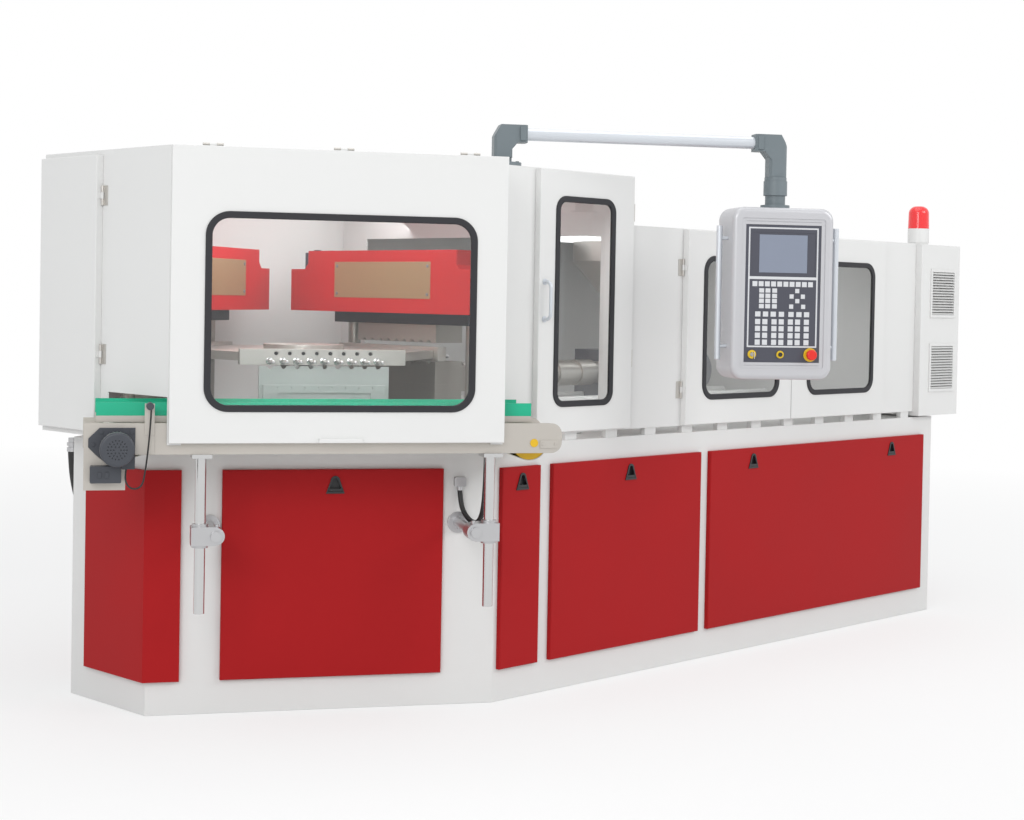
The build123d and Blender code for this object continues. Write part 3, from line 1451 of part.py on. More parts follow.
cord_tube(drain_route, drain_size, "drain_hose", (drain_pipe.part,))

# Operator arm: a foot on the roof, a swivelling tube with cast elbows, and the panel.
foot_radius = 76
riser_radius = 30
arm_low = head_top + 32
with BuildPart() as arm_foot:
    with Locations((arm_foot_x, arm_foot_y, head_top + 7)):
        Cylinder(foot_radius, 14)
    with Locations((arm_foot_x, arm_foot_y, (head_top + arm_low) / 2)):
        Cylinder(riser_radius + 8, arm_low - head_top)
    with Locations((arm_foot_x, arm_foot_y, head_top + 16)):
        with PolarLocations(foot_radius - 16, 4, start_angle=45):
            Cylinder(7, 8)
save(arm_foot.part, "arm_foot")


def elbow(at, low, reach):
    # A cast elbow: an eight-sided riser that leans over into the socket of the tube.
    half = 36
    top = arm_height + 34
    with BuildPart() as body:
        with BuildSketch(arm_plane):
            with BuildLine():
                Polyline((at - reach * half, low), (at - reach * half, top - 46), (at - reach * (half - 26), top),
                         (at + reach * 96, top), (at + reach * 96, arm_height - 34),
                         (at + reach * 56, arm_height - 34), (at + reach * half, arm_height - 58),
                         (at + reach * half, low), close=True)
            make_face()
        extrude(amount=34, both=True)
        chamfer(body.edges().filter_by(Axis.Z), 9)
        with BuildSketch(arm_plane.offset(34)):
            with Locations((at + reach * 76, arm_height)):
                Rectangle(22, 54)
        extrude(amount=6)
    return body.part


panel_top = panel_mid_z + panel_height / 2
neck_low = panel_top + 117
with BuildPart() as arm_elbows:
    add(elbow(0, arm_low + apart, 1))
    add(elbow(arm_reach, neck_low + 8, -1))
with BuildPart() as arm_tube:
    with BuildSketch(Plane(origin=arm_plane.from_local_coords((60, arm_height, 0)), z_dir=arm_dir)):
        Circle(arm_tube_radius)
    extrude(amount=arm_reach - 120)
with BuildPart() as elbow_sockets:
    add(arm_elbows.part)
    add(arm_tube.part, mode=Mode.SUBTRACT)
save(elbow_sockets.part, "arm_elbows")
save(arm_tube.part, "arm_tube")

neck_x = arm_end_point.X
neck_y = arm_end_point.Y
with BuildPart() as panel_neck:
    with Locations((neck_x, neck_y, neck_low)):
        Cylinder(44, 15)
    for low, high, radius in ((panel_top, panel_top + 14, 58), (panel_top + 14, panel_top + 52, 40),
                              (panel_top + 52, neck_low - 7, 47)):
        with Locations((neck_x, neck_y, (low + high) / 2)):
            Cylinder(radius, high - low)
save(panel_neck.part, "panel_neck")

panel_back = panel_plane.offset(panel_shift - panel_depth / 2)
panel_front = panel_plane.offset(panel_shift + panel_depth / 2)
panel_corner = 50
panel_round = 20
step_size = (347, 592)
step_depth = 3
fascia_size = (312, 541)
fascia_depth = 6
fascia_thick = 5
fascia_z = panel_mid_z
with BuildPart() as panel_housing:
    with BuildSketch(panel_back):
        with Locations((0, panel_mid_z)):
            RectangleRounded(panel_width, panel_height, panel_corner)
    extrude(amount=panel_depth)
    fillet(panel_housing.faces().sort_by(Axis(panel_back.origin, panel_back.z_dir))[-1].edges(), panel_round)
    # The front steps down twice: to the border and to the seat of the key panel.
    with BuildSketch(panel_front):
        with Locations((0, fascia_z)):
            RectangleRounded(*step_size, 10)
    extrude(amount=-step_depth, mode=Mode.SUBTRACT)
    with BuildSketch(panel_front):
        with Locations((0, fascia_z)):
            Rectangle(fascia_size[0] + 2, fascia_size[1] + 2)
    extrude(amount=-step_depth - fascia_depth, mode=Mode.SUBTRACT)
    # Two fine grooves run across above and below the key panel.
    with BuildSketch(panel_front.offset(-step_depth)):
        with Locations((0, fascia_z)):
            with GridLocations(0, fascia_size[1] + 26, 1, 2):
                Rectangle(fascia_size[0], 3)
    extrude(amount=-2, mode=Mode.SUBTRACT)
save(panel_housing.part, "panel_housing")
fascia_seat = panel_front.offset(-step_depth - fascia_depth)
fascia_top = fascia_seat.offset(fascia_thick)
screen_field = (266, 171)
field_mid = fascia_z + 155.5
screen_size = (201, 151)
screen_mid = fascia_z + 157.5
button_z = fascia_z - 240
estop_x = 118
key_x = -124
start_x = -7
button_stem = 8
stem_hole = button_stem + apart
with BuildPart() as panel_fascia:
    with BuildSketch(fascia_seat):
        with Locations((0, fascia_z)):
            Rectangle(*fascia_size)
        for along in (estop_x, start_x):
            with Locations((along, button_z)):
                Circle(stem_hole, mode=Mode.SUBTRACT)
    extrude(amount=fascia_thick)
    with BuildSketch(fascia_top):
        with Locations((0, field_mid)):
            Rectangle(*screen_field)
    extrude(amount=-1, mode=Mode.SUBTRACT)
    with BuildSketch(fascia_top):
        with Locations((0, screen_mid)):
            Rectangle(*screen_size)
    extrude(amount=-2.5, mode=Mode.SUBTRACT)
save(panel_fascia.part, "panel_fascia")

# Membrane keys: four blocks in rows, six arrow keys and the light frame round them.
frame_line = 6
frame_half = 145
frame_span = (-212, 261)
frame_bar = (56, 67)
key_rise = 1.2
key_groups = [
    ([-116.5 + 25.7 * index for index in range(10)], [38], 20, 20),
    ([-88, -62, -34], [12, -9, -29, -50], 20, 17),
    ([-102, -70, -38, -4, 36, 69, 101], [-81], 22, 20),
    ([-102, -72, -34, -4, 34, 64, 101], [-111, -138, -165, -192], 21, 21),
]
arrow_keys = [(60, 12), (37, -10), (84, -10), (61, -28), (36, -50), (86, -50)]
with BuildPart() as panel_keys:
    with BuildSketch(fascia_top):
        for key_columns, key_levels, wide, tall in key_groups:
            with Locations(*[(x, fascia_z + level) for x in key_columns for level in key_levels]):
                Rectangle(wide, tall)
        with Locations(*[(x, fascia_z + level) for x, level in arrow_keys]):
            Rectangle(17, 17)
    extrude(amount=key_rise)
    with BuildSketch(fascia_top):
        with Locations((0, fascia_z + (frame_span[0] + frame_span[1]) / 2)):
            Rectangle(2 * frame_half, frame_span[1] - frame_span[0])
            Rectangle(2 * (frame_half - frame_line), frame_span[1] - frame_span[0] - 2 * frame_line,
                      mode=Mode.SUBTRACT)
        with Locations((0, fascia_z + (frame_bar[0] + frame_bar[1]) / 2)):
            Rectangle(2 * frame_half - frame_line, frame_bar[1] - frame_bar[0])
    extrude(amount=key_rise / 2)
save(panel_keys.part, "panel_keys")

handle_out = 34
handle_radius = 12
handle_half = 265
handle_low = panel_mid_z - handle_half
handle_high = panel_mid_z + handle_half
pin_heights = (panel_mid_z - 210.5, panel_mid_z + 216.5)
handle_plane = panel_plane.offset(panel_shift + 20)
with BuildPart() as panel_handles:
    for side in (-1, 1):
        spot = handle_plane.from_local_coords((side * (panel_width / 2 + handle_out), handle_low, 0))
        with BuildSketch(Plane(origin=spot, z_dir=(0, 0, 1))):
            Circle(handle_radius)
        extrude(amount=handle_high - handle_low)
        fillet(panel_handles.edges().filter_by(GeomType.CIRCLE).group_by(Axis.Z)[0], 5)
        for height in pin_heights:
            edge = handle_plane.from_local_coords((side * panel_width / 2, height, 0))
            with BuildSketch(Plane(origin=edge, z_dir=arm_dir * side)):
                Circle(7)
            extrude(amount=handle_out)
save(panel_handles.part, "panel_handles")

ring_thick = 5
with BuildPart() as estop_button:
    with BuildSketch(fascia_top.offset(0.5)):
        with Locations((estop_x, button_z)):
            Circle(button_stem)
    extrude(amount=16)
    with BuildSketch(fascia_top.offset(16)):
        with Locations((estop_x, button_z)):
            Circle(21)
    extrude(amount=14)
    fillet(estop_button.faces().sort_by(Axis(fascia_top.origin, fascia_top.z_dir))[-1].edges(), 6)
save(estop_button.part, "estop_button")
with BuildPart() as panel_switch_rings:
    for along, radius in ((estop_x, 27), (key_x, 17), (start_x, 15)):
        with BuildSketch(fascia_top):
            with Locations((along, button_z)):
                Circle(radius)
                Circle(stem_hole, mode=Mode.SUBTRACT)
        extrude(amount=ring_thick)
save(panel_switch_rings.part, "panel_switch_rings")
with BuildPart() as key_switch:
    with BuildSketch(fascia_top.offset(apart)):
        with Locations((key_x, button_z)):
            Circle(button_stem)
    extrude(amount=8)
    with BuildSketch(fascia_top.offset(8)):
        with Locations((key_x, button_z)):
            Rectangle(3, 11)
    extrude(amount=12)
    with BuildSketch(fascia_top.offset(19)):
        with Locations((key_x, button_z - 4)):
            Rectangle(3, 26)
    extrude(amount=16)
save(key_switch.part, "key_switch")
with BuildPart() as start_button:
    with BuildSketch(fascia_top.offset(1)):
        with Locations((start_x, button_z)):
            Circle(button_stem)
    extrude(amount=9)
save(start_button.part, "start_button")

# Hydraulic unit inside the base: a tank with a motor and a pump on it.
with BuildPart() as hydraulic_unit:
    with Locations((2300, 0, base_floor + 230)):
        Box(1200, 900, 460)
    with Locations((2100, -120, base_floor + 460 + 10)):
        Box(640, 300, 20)
    with Locations((2220, -120, base_floor + 480 + 130)):
        Cylinder(130, 380, rotation=(0, 90, 0))
    with Locations((1930, -120, base_floor + 480 + 130)):
        Cylinder(70, 220, rotation=(0, 90, 0))
    for x in (1900, 2300):
        with Locations((x, -120, base_floor + 500)):
            Box(60, 200, 60)
save(hydraulic_unit.part, "hydraulic_unit")
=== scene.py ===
import math
import bpy
from mathutils import Matrix, Vector


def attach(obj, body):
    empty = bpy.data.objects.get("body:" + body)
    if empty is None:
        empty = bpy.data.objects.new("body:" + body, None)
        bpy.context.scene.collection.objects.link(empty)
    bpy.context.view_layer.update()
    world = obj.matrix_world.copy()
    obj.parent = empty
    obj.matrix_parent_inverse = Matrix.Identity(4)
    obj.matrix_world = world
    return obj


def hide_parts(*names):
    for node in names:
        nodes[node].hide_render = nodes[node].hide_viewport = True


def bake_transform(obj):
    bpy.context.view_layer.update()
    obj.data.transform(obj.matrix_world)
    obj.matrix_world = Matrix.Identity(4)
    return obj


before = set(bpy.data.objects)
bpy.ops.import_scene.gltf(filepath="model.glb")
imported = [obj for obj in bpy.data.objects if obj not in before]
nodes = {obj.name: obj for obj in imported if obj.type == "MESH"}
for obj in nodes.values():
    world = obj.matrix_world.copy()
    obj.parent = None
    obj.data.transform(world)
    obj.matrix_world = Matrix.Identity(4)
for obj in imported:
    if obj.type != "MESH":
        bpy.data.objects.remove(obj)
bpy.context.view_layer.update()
scene = bpy.context.scene
print("frame loaded")

# Shared places, in metres, in the same frame as the solids: the slanting front of the base runs from
# slantStart to slantEnd, and the operator arm from armFoot to armEnd.
slantStart = Vector((-0.915, -0.250, 0.0))
slantEnd = Vector((0.200, -0.929, 0.0))
slantDir = (slantEnd - slantStart).normalized()
slantOut = Vector((slantDir.y, -slantDir.x, 0.0))
armAngle = math.radians(-33.8)
armDir = Vector((math.cos(armAngle), math.sin(armAngle), 0.0))
armOut = Vector((armDir.y, -armDir.x, 0.0))
armFoot = Vector((0.280, -0.850, 0.0))
armReach = 1.118
armEnd = armFoot + armDir * armReach
upward = Vector((0.0, 0.0, 1.0))


def slantPoint(along, out, height):
    spot = slantStart + slantDir * along + slantOut * out
    return Vector((spot.x, spot.y, height))


def rearPoint(along, out, height):
    spot = slantPoint(along, out, height)
    return Vector((spot.x, -spot.y, height))


def facing(origin, right, normal):
    # A frame on an upright face: x runs to the right, y is up and z points out of the face.
    return Matrix.Translation(origin) @ Matrix((right, upward, normal)).transposed().to_4x4()


def startGroup(name, inputs, outputs):
    group = bpy.data.node_groups.new(name, "ShaderNodeTree")
    for label, kind, value in inputs:
        socket = group.interface.new_socket(label, in_out="INPUT", socket_type=kind)
        socket.default_value = value
    for label, kind in outputs:
        group.interface.new_socket(label, in_out="OUTPUT", socket_type=kind)
    return group, group.nodes.new("NodeGroupInput"), group.nodes.new("NodeGroupOutput")


def makeGrainGroup():
    values = {"detail": 3.0, "rough": 0.55, "bump": 0.0006, "edgeSamples": 4, "mottleScale": 2.3,
              "mottleDetail": 2.0}
    group, gin, gout = startGroup(
        "surfaceGrain",
        [("Scale", "NodeSocketFloat", 400.0), ("Depth", "NodeSocketFloat", 0.1),
         ("Round", "NodeSocketFloat", 0.001)],
        [("Normal", "NodeSocketVector"), ("Mottle", "NodeSocketFloat")],
    )
    link = group.links.new
    coords = group.nodes.new("ShaderNodeTexCoord")
    noise = group.nodes.new("ShaderNodeTexNoise")
    noise.inputs["Detail"].default_value = values["detail"]
    noise.inputs["Roughness"].default_value = values["rough"]
    link(coords.outputs["Object"], noise.inputs["Vector"])
    link(gin.outputs["Scale"], noise.inputs["Scale"])
    bevel = group.nodes.new("ShaderNodeBevel")
    bevel.samples = values["edgeSamples"]
    link(gin.outputs["Round"], bevel.inputs["Radius"])
    bump = group.nodes.new("ShaderNodeBump")
    bump.inputs["Distance"].default_value = values["bump"]
    link(gin.outputs["Depth"], bump.inputs["Strength"])
    link(noise.outputs["Fac"], bump.inputs["Height"])
    link(bevel.outputs["Normal"], bump.inputs["Normal"])
    link(bump.outputs["Normal"], gout.inputs["Normal"])
    mottle = group.nodes.new("ShaderNodeTexNoise")
    mottle.inputs["Scale"].default_value = values["mottleScale"]
    mottle.inputs["Detail"].default_value = values["mottleDetail"]
    link(coords.outputs["Object"], mottle.inputs["Vector"])
    link(mottle.outputs["Fac"], gout.inputs["Mottle"])
    return group


grainGroup = makeGrainGroup()

# What a look has unless it says otherwise: size and depth of the grain, width of the rounded edges,
# how far the colour and the gloss drift over a piece, and how much metal, clear coat and shine it has.
plainLook = {"grain": 500.0, "depth": 0.08, "edge": 0.0012, "drift": 0.04, "glossDrift": 0.12,
             "metal": 0.0, "coat": 0.0, "coatRough": 0.12, "specular": 0.5}


def makeMaterial(name, ownLook):
    # A surface whose colour and gloss drift slightly over the piece, with fine grain.
    look = {**plainLook, **ownLook}
    material = bpy.data.materials.new(name)
    material.use_nodes = True
    tree = material.node_tree
    shader = tree.nodes["Principled BSDF"]
    grain = tree.nodes.new("ShaderNodeGroup")
    grain.node_tree = grainGroup
    grain.inputs["Scale"].default_value = look["grain"]
    grain.inputs["Depth"].default_value = look["depth"]
    grain.inputs["Round"].default_value = look["edge"]
    tree.links.new(grain.outputs["Normal"], shader.inputs["Normal"])
    ramp = tree.nodes.new("ShaderNodeMix")
    ramp.data_type = "RGBA"
    low = [c * (1.0 - look["drift"]) for c in look["colour"]]
    high = [min(1.0, c * (1.0 + look["drift"])) for c in look["colour"]]
    ramp.inputs["A"].default_value = (*low, 1.0)
    ramp.inputs["B"].default_value = (*high, 1.0)
    tree.links.new(grain.outputs["Mottle"], ramp.inputs["Factor"])
    tree.links.new(ramp.outputs["Result"], shader.inputs["Base Color"])
    if "paintAbove" in look:
        # The same casting is painted above a level and bare metal below it.
        height, paint = look["paintAbove"]
        coords = tree.nodes.new("ShaderNodeTexCoord")
        split = tree.nodes.new("ShaderNodeSeparateXYZ")
        above = tree.nodes.new("ShaderNodeMath")
        above.operation = "GREATER_THAN"
        above.inputs[1].default_value = height
        tree.links.new(coords.outputs["Object"], split.inputs["Vector"])
        tree.links.new(split.outputs["Z"], above.inputs[0])
        coat = tree.nodes.new("ShaderNodeMix")
        coat.data_type = "RGBA"
        coat.inputs["B"].default_value = (*paint, 1.0)
        tree.links.new(above.outputs["Value"], coat.inputs["Factor"])
        tree.links.new(ramp.outputs["Result"], coat.inputs["A"])
        tree.links.new(coat.outputs["Result"], shader.inputs["Base Color"])
    gloss = tree.nodes.new("ShaderNodeMapRange")
    gloss.inputs["To Min"].default_value = look["rough"] * (1.0 - look["glossDrift"])
    gloss.inputs["To Max"].default_value = look["rough"] * (1.0 + look["glossDrift"])
    tree.links.new(grain.outputs["Mottle"], gloss.inputs["Value"])
    tree.links.new(gloss.outputs["Result"], shader.inputs["Roughness"])
    shader.inputs["Metallic"].default_value = look["metal"]
    shader.inputs["Coat Weight"].default_value = look["coat"]
    shader.inputs["Coat Roughness"].default_value = look["coatRough"]
    shader.inputs["Specular IOR Level"].default_value = look["specular"]
    if "glow" in look:
        shader.inputs["Emission Color"].default_value = (*look["glow"], 1.0)
        shader.inputs["Emission Strength"].default_value = look["glowPower"]
    return material


def makePane(name, look):
    # Clear sheet with a faint haze, which lets the light of the lamps through to the inside.
    material = bpy.data.materials.new(name)
    material.use_nodes = True
    tree = material.node_tree
    shader = tree.nodes["Principled BSDF"]
    shader.inputs["Base Color"].default_value = (*look["colour"], 1.0)
    shader.inputs["Transmission Weight"].default_value = 1.0
    shader.inputs["IOR"].default_value = look["ior"]
    coords = tree.nodes.new("ShaderNodeTexCoord")
    smear = tree.nodes.new("ShaderNodeTexNoise")
    smear.inputs["Scale"].default_value = look["smear"]
    tree.links.new(coords.outputs["Object"], smear.inputs["Vector"])
    haze = tree.nodes.new("ShaderNodeMapRange")
    haze.inputs["To Min"].default_value = look["rough"] * (1.0 - look["hazeDrift"])
    haze.inputs["To Max"].default_value = look["rough"] * (1.0 + look["hazeDrift"])
    tree.links.new(smear.outputs["Fac"], haze.inputs["Value"])
    tree.links.new(haze.outputs["Result"], shader.inputs["Roughness"])
    clear = tree.nodes.new("ShaderNodeBsdfTransparent")
    clear.inputs["Color"].default_value = (*look["shade"], 1.0)
    paths = tree.nodes.new("ShaderNodeLightPath")
    mix = tree.nodes.new("ShaderNodeMixShader")
    tree.links.new(paths.outputs["Is Shadow Ray"], mix.inputs["Fac"])
    tree.links.new(shader.outputs["BSDF"], mix.inputs[1])
    tree.links.new(clear.outputs["BSDF"], mix.inputs[2])
    tree.links.new(mix.outputs["Shader"], tree.nodes["Material Output"].inputs["Surface"])
    return material


looks = {
    "whiteSheet": {"colour": (0.72, 0.72, 0.71), "rough": 0.36, "grain": 900.0, "depth": 0.05,
                   "drift": 0.015, "specular": 0.3},
    "whiteFrame": {"colour": (0.70, 0.70, 0.69), "rough": 0.42, "grain": 700.0, "depth": 0.08,
                   "drift": 0.02, "specular": 0.3},
    "redSheet": {"colour": (0.36, 0.010, 0.012), "rough": 0.50, "grain": 320.0, "depth": 0.45,
                 "drift": 0.07, "specular": 0.12},
    "redCover": {"colour": (0.44, 0.010, 0.013), "rough": 0.34, "grain": 500.0, "depth": 0.10,
                 "drift": 0.05, "specular": 0.3},
    "blackPlastic": {"colour": (0.018, 0.018, 0.020), "rough": 0.45, "grain": 900.0, "depth": 0.15,
                     "drift": 0.1},
    "gasket": {"colour": (0.026, 0.026, 0.030), "rough": 0.55, "grain": 900.0, "depth": 0.2,
               "drift": 0.1, "edge": 0.002, "specular": 0.3},
    "steel": {"colour": (0.56, 0.54, 0.51), "rough": 0.36, "grain": 260.0, "depth": 0.10,
              "drift": 0.08, "metal": 0.85},
    "warmSteel": {"colour": (0.50, 0.47, 0.43), "rough": 0.42, "grain": 220.0, "depth": 0.12,
                  "drift": 0.07, "metal": 0.55},
    "polished": {"colour": (0.60, 0.60, 0.60), "rough": 0.20, "grain": 700.0, "depth": 0.04,
                 "drift": 0.06, "metal": 1.0},
    "castSteel": {"colour": (0.50, 0.50, 0.51), "rough": 0.30, "grain": 420.0, "depth": 0.10,
                  "drift": 0.08, "metal": 0.8},
    "mould": {"colour": (0.42, 0.40, 0.37), "rough": 0.38, "grain": 300.0, "depth": 0.1, "drift": 0.12,
              "metal": 0.7, "paintAbove": (1.4305, (0.035, 0.045, 0.065))},
    "darkSteel": {"colour": (0.22, 0.23, 0.25), "rough": 0.40, "grain": 350.0, "depth": 0.15,
                  "drift": 0.15, "metal": 0.5},
    "comb": {"colour": (0.50, 0.52, 0.51), "rough": 0.34, "grain": 300.0, "depth": 0.08, "drift": 0.06,
             "metal": 0.35},
    "redDome": {"colour": (0.72, 0.012, 0.016), "rough": 0.14, "grain": 200.0, "depth": 0.02,
                "drift": 0.05, "coat": 0.6, "glow": (1.0, 0.02, 0.02), "glowPower": 0.10},
    "greenStrip": {"colour": (0.006, 0.42, 0.24), "rough": 0.42, "grain": 600.0, "depth": 0.05,
                   "drift": 0.04},
    "belt": {"colour": (0.60, 0.58, 0.52), "rough": 0.62, "grain": 800.0, "depth": 0.3, "drift": 0.06},
    "yellowDrum": {"colour": (0.70, 0.43, 0.01), "rough": 0.42, "grain": 400.0, "depth": 0.1,
                   "drift": 0.06},
    "motor": {"colour": (0.045, 0.050, 0.062), "rough": 0.46, "grain": 500.0, "depth": 0.25,
              "drift": 0.12},
    "greyCast": {"colour": (0.150, 0.180, 0.195), "rough": 0.42, "grain": 500.0, "depth": 0.2,
                 "drift": 0.06},
    "paleTube": {"colour": (0.62, 0.65, 0.69), "rough": 0.30, "grain": 900.0, "depth": 0.03,
                 "drift": 0.03, "metal": 0.5},
    "silverCase": {"colour": (0.52, 0.52, 0.54), "rough": 0.34, "grain": 900.0, "depth": 0.08,
                   "drift": 0.03, "metal": 0.25},
    "darkFascia": {"colour": (0.060, 0.062, 0.082), "rough": 0.42, "grain": 900.0, "depth": 0.05,
                   "drift": 0.05},
    "screen": {"colour": (0.215, 0.245, 0.315), "rough": 0.18, "grain": 200.0, "depth": 0.0,
               "drift": 0.08, "coat": 0.4},
    "keyCaps": {"colour": (0.62, 0.63, 0.65), "rough": 0.5, "grain": 900.0, "depth": 0.1,
                "drift": 0.03},
    "yellowRing": {"colour": (0.72, 0.48, 0.02), "rough": 0.4, "grain": 600.0, "depth": 0.05,
                   "drift": 0.04},
    "redButton": {"colour": (0.72, 0.020, 0.012), "rough": 0.28, "grain": 600.0, "depth": 0.04,
                  "drift": 0.04},
    "tank": {"colour": (0.10, 0.13, 0.17), "rough": 0.45, "grain": 500.0, "depth": 0.2, "drift": 0.1},
    "tanPlate": {"colour": (0.33, 0.22, 0.12), "rough": 0.40, "grain": 420.0, "depth": 0.06,
                 "drift": 0.08, "metal": 0.3},
    "valvePaint": {"colour": (0.040, 0.048, 0.070), "rough": 0.44, "grain": 420.0, "depth": 0.2,
                   "drift": 0.1},
    "cable": {"colour": (0.012, 0.012, 0.013), "rough": 0.5, "grain": 900.0, "depth": 0.1,
              "drift": 0.1},
}
materials = {name: makeMaterial(name, look) for name, look in looks.items()}

paneLook = {"colour": (0.97, 0.985, 0.985), "rough": 0.012, "hazeDrift": 0.5, "ior": 1.45,
            "smear": 3.0, "shade": (0.97, 0.98, 0.98)}
materials["pane"] = makePane("pane", paneLook)

wears = {
    "whiteSheet": ["head_housing", "low_housing", "cabinet", "front_guard", "end_door", "tall_door",
                   "low_door_left", "low_door_right"],
    "whiteFrame": ["base_frame", "machine_bed"],
    "redSheet": ["base_panels"],
    "redCover": ["clamp_covers"],
    "blackPlastic": ["panel_grips", "start_button"],
    "gasket": ["guard_gasket", "tall_gasket", "left_gasket", "right_gasket"],
    "pane": ["rear_pane", "guard_pane", "tall_pane", "left_pane", "right_pane"],
    "steel": ["hinge_leaves", "index_head", "barrel", "hopper", "drive_drum"],
    "warmSteel": ["conveyor_frame"],
    "comb": ["stripper_comb"],
    "polished": ["index_shaft", "core_rods", "screw", "conveyor_posts", "key_switch"],
    "castSteel": ["post_clamps"],
    "mould": ["clamp_frames", "injection_mould", "blow_mould"],
    "darkSteel": ["carriage"],
    "redDome": ["beacon_dome"],
    "greenStrip": ["belt_guides"],
    "belt": ["conveyor_belt"],
    "yellowDrum": ["tail_drum"],
    "motor": ["conveyor_motor"],
    "greyCast": ["arm_foot", "arm_elbows", "panel_neck"],
    "paleTube": ["arm_tube", "panel_handles", "tall_pull"],
    "silverCase": ["panel_housing"],
    "darkFascia": ["panel_fascia"],
    "keyCaps": ["panel_keys"],
    "yellowRing": ["panel_switch_rings"],
    "redButton": ["estop_button"],
    "tank": ["hydraulic_unit"],
}
for name, wearers in wears.items():
    for wearer in wearers:
        data = nodes[wearer].data
        data.materials.clear()
        data.materials.append(materials[name])
print("materials set")


# How finely the small pieces are rounded, and the largest face that counts as part of a rounded edge.
trim = {"segments": 3, "studSides": 40, "roundFace": 0.0004}


def startPiece():
    if bpy.context.object and bpy.context.object.mode != "OBJECT":
        bpy.ops.object.mode_set(mode="OBJECT")
    bpy.ops.object.select_all(action="DESELECT")


def softEdges(piece, width):
    rounding = piece.modifiers.new("rounding", "BEVEL")
    rounding.width = width
    rounding.segments = trim["segments"]
    rounding.limit_method = "ANGLE"
    bpy.ops.object.modifier_apply(modifier=rounding.name)


def roundedBlock(place, centre, size, width):
    # A block with rounded edges, given in the frame of a face.
    startPiece()
    bpy.ops.mesh.primitive_cube_add(size=1.0)
    piece = bpy.context.object
    piece.data.transform(Matrix.Diagonal((*size, 1.0)))
    softEdges(piece, width)
    piece.data.transform(place @ Matrix.Translation(centre))
    return piece


def roundStud(place, centre, radius, depth, width):
    # A round head that stands on a face.
    startPiece()
    bpy.ops.mesh.primitive_cylinder_add(vertices=trim["studSides"], radius=radius, depth=depth)
    piece = bpy.context.object
    softEdges(piece, width)
    piece.data.transform(place @ Matrix.Translation(Vector(centre) + Vector((0.0, 0.0, depth / 2))))
    return piece


def joinPieces(name, pieces, material, body):
    startPiece()
    for piece in pieces:
        piece.select_set(True)
    bpy.context.view_layer.objects.active = pieces[0]
    if len(pieces) > 1:
        bpy.ops.object.join()
    piece = bpy.context.object
    piece.name = name
    piece.data.materials.clear()
    piece.data.materials.append(materials[material])
    for polygon in piece.data.polygons:
        polygon.use_smooth = len(polygon.vertices) == 4 and polygon.area < trim["roundFace"]
    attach(piece, body)


# Bare plates on the fronts of both clamp covers, each with four domed screws.
coverPlate = {"right": -0.325, "left": 0.291, "low": 1.540, "high": 1.694, "face": 0.400,
              "thick": 0.0015, "edge": 0.0006, "screw": 0.007, "screwTall": 0.003, "screwEdge": 0.0012,
              "sunk": 0.0002, "inset": 0.018, "turns": (0.0, 120.0)}
plateMiddle = Vector((coverPlate["face"], (coverPlate["left"] + coverPlate["right"]) / 2,
                      (coverPlate["low"] + coverPlate["high"]) / 2))
plateWide = coverPlate["left"] - coverPlate["right"]
plateTall = coverPlate["high"] - coverPlate["low"]
plates, screws = [], []
for turned in coverPlate["turns"]:
    spin = Matrix.Rotation(math.radians(turned), 4, "Z")
    place = spin @ facing(plateMiddle, Vector((0.0, -1.0, 0.0)), Vector((-1.0, 0.0, 0.0)))
    plates.append(roundedBlock(place, (0.0, 0.0, coverPlate["thick"] / 2),
                               (plateWide, plateTall, coverPlate["thick"]), coverPlate["edge"]))
    for across in (-1, 1):
        for level in (-1, 1):
            spot = (across * (plateWide / 2 - coverPlate["inset"]),
                    level * (plateTall / 2 - coverPlate["inset"]),
                    coverPlate["thick"] - coverPlate["sunk"])
            screws.append(roundStud(place, spot, coverPlate["screw"], coverPlate["screwTall"],
                                    coverPlate["screwEdge"]))
joinPieces("cover_plates", plates, "tanPlate", "machine")
joinPieces("cover_plate_screws", screws, "darkSteel", "machine")

# Socket screws sit in the holes along the head's three bars, between the core rods.
barScrews = {"face": 0.500, "pitch": 0.052, "count": 8, "height": 1.324, "radius": 0.0066,
             "deep": 0.0075, "tall": 0.006, "edge": 0.001, "turns": (0.0, 120.0, 240.0)}
studs = []
for turned in barScrews["turns"]:
    spin = Matrix.Rotation(math.radians(turned), 4, "Z")
    place = spin @ facing(Vector((barScrews["face"] - barScrews["deep"], 0.0, barScrews["height"])),
                          Vector((0.0, 1.0, 0.0)), Vector((1.0, 0.0, 0.0)))
    for index in range(barScrews["count"]):
        across = (index - (barScrews["count"] - 1) / 2) * barScrews["pitch"]
        studs.append(roundStud(place, (across, 0.0, 0.0), barScrews["radius"], barScrews["tall"],
                               barScrews["edge"]))
joinPieces("bar_screws", studs, "blackPlastic", "head")

# A valve block with two capped ports stands on the left shoulder of the main clamp cover.
valve = {"x": (0.470, 0.640), "y": (0.508, 0.585), "z": (1.6625, 1.738), "edge": 0.003, "port": 0.016,
         "portTall": 0.014, "portEdge": 0.002, "portsApart": 0.090, "sunk": 0.001}
valveMiddle = Vector([sum(valve[axis]) / 2 for axis in "xyz"])
valveSize = [valve[axis][1] - valve[axis][0] for axis in "xyz"]
unturned = Matrix.Identity(4)
valvePieces = [roundedBlock(unturned, valveMiddle, valveSize, valve["edge"])]
for side in (-1, 1):
    spot = (valveMiddle.x + side * valve["portsApart"] / 2, valveMiddle.y,
            valve["z"][1] - valve["sunk"])
    valvePieces.append(roundStud(unturned, spot, valve["port"], valve["portTall"], valve["portEdge"]))
joinPieces("valve_block", valvePieces, "valvePaint", "machine")

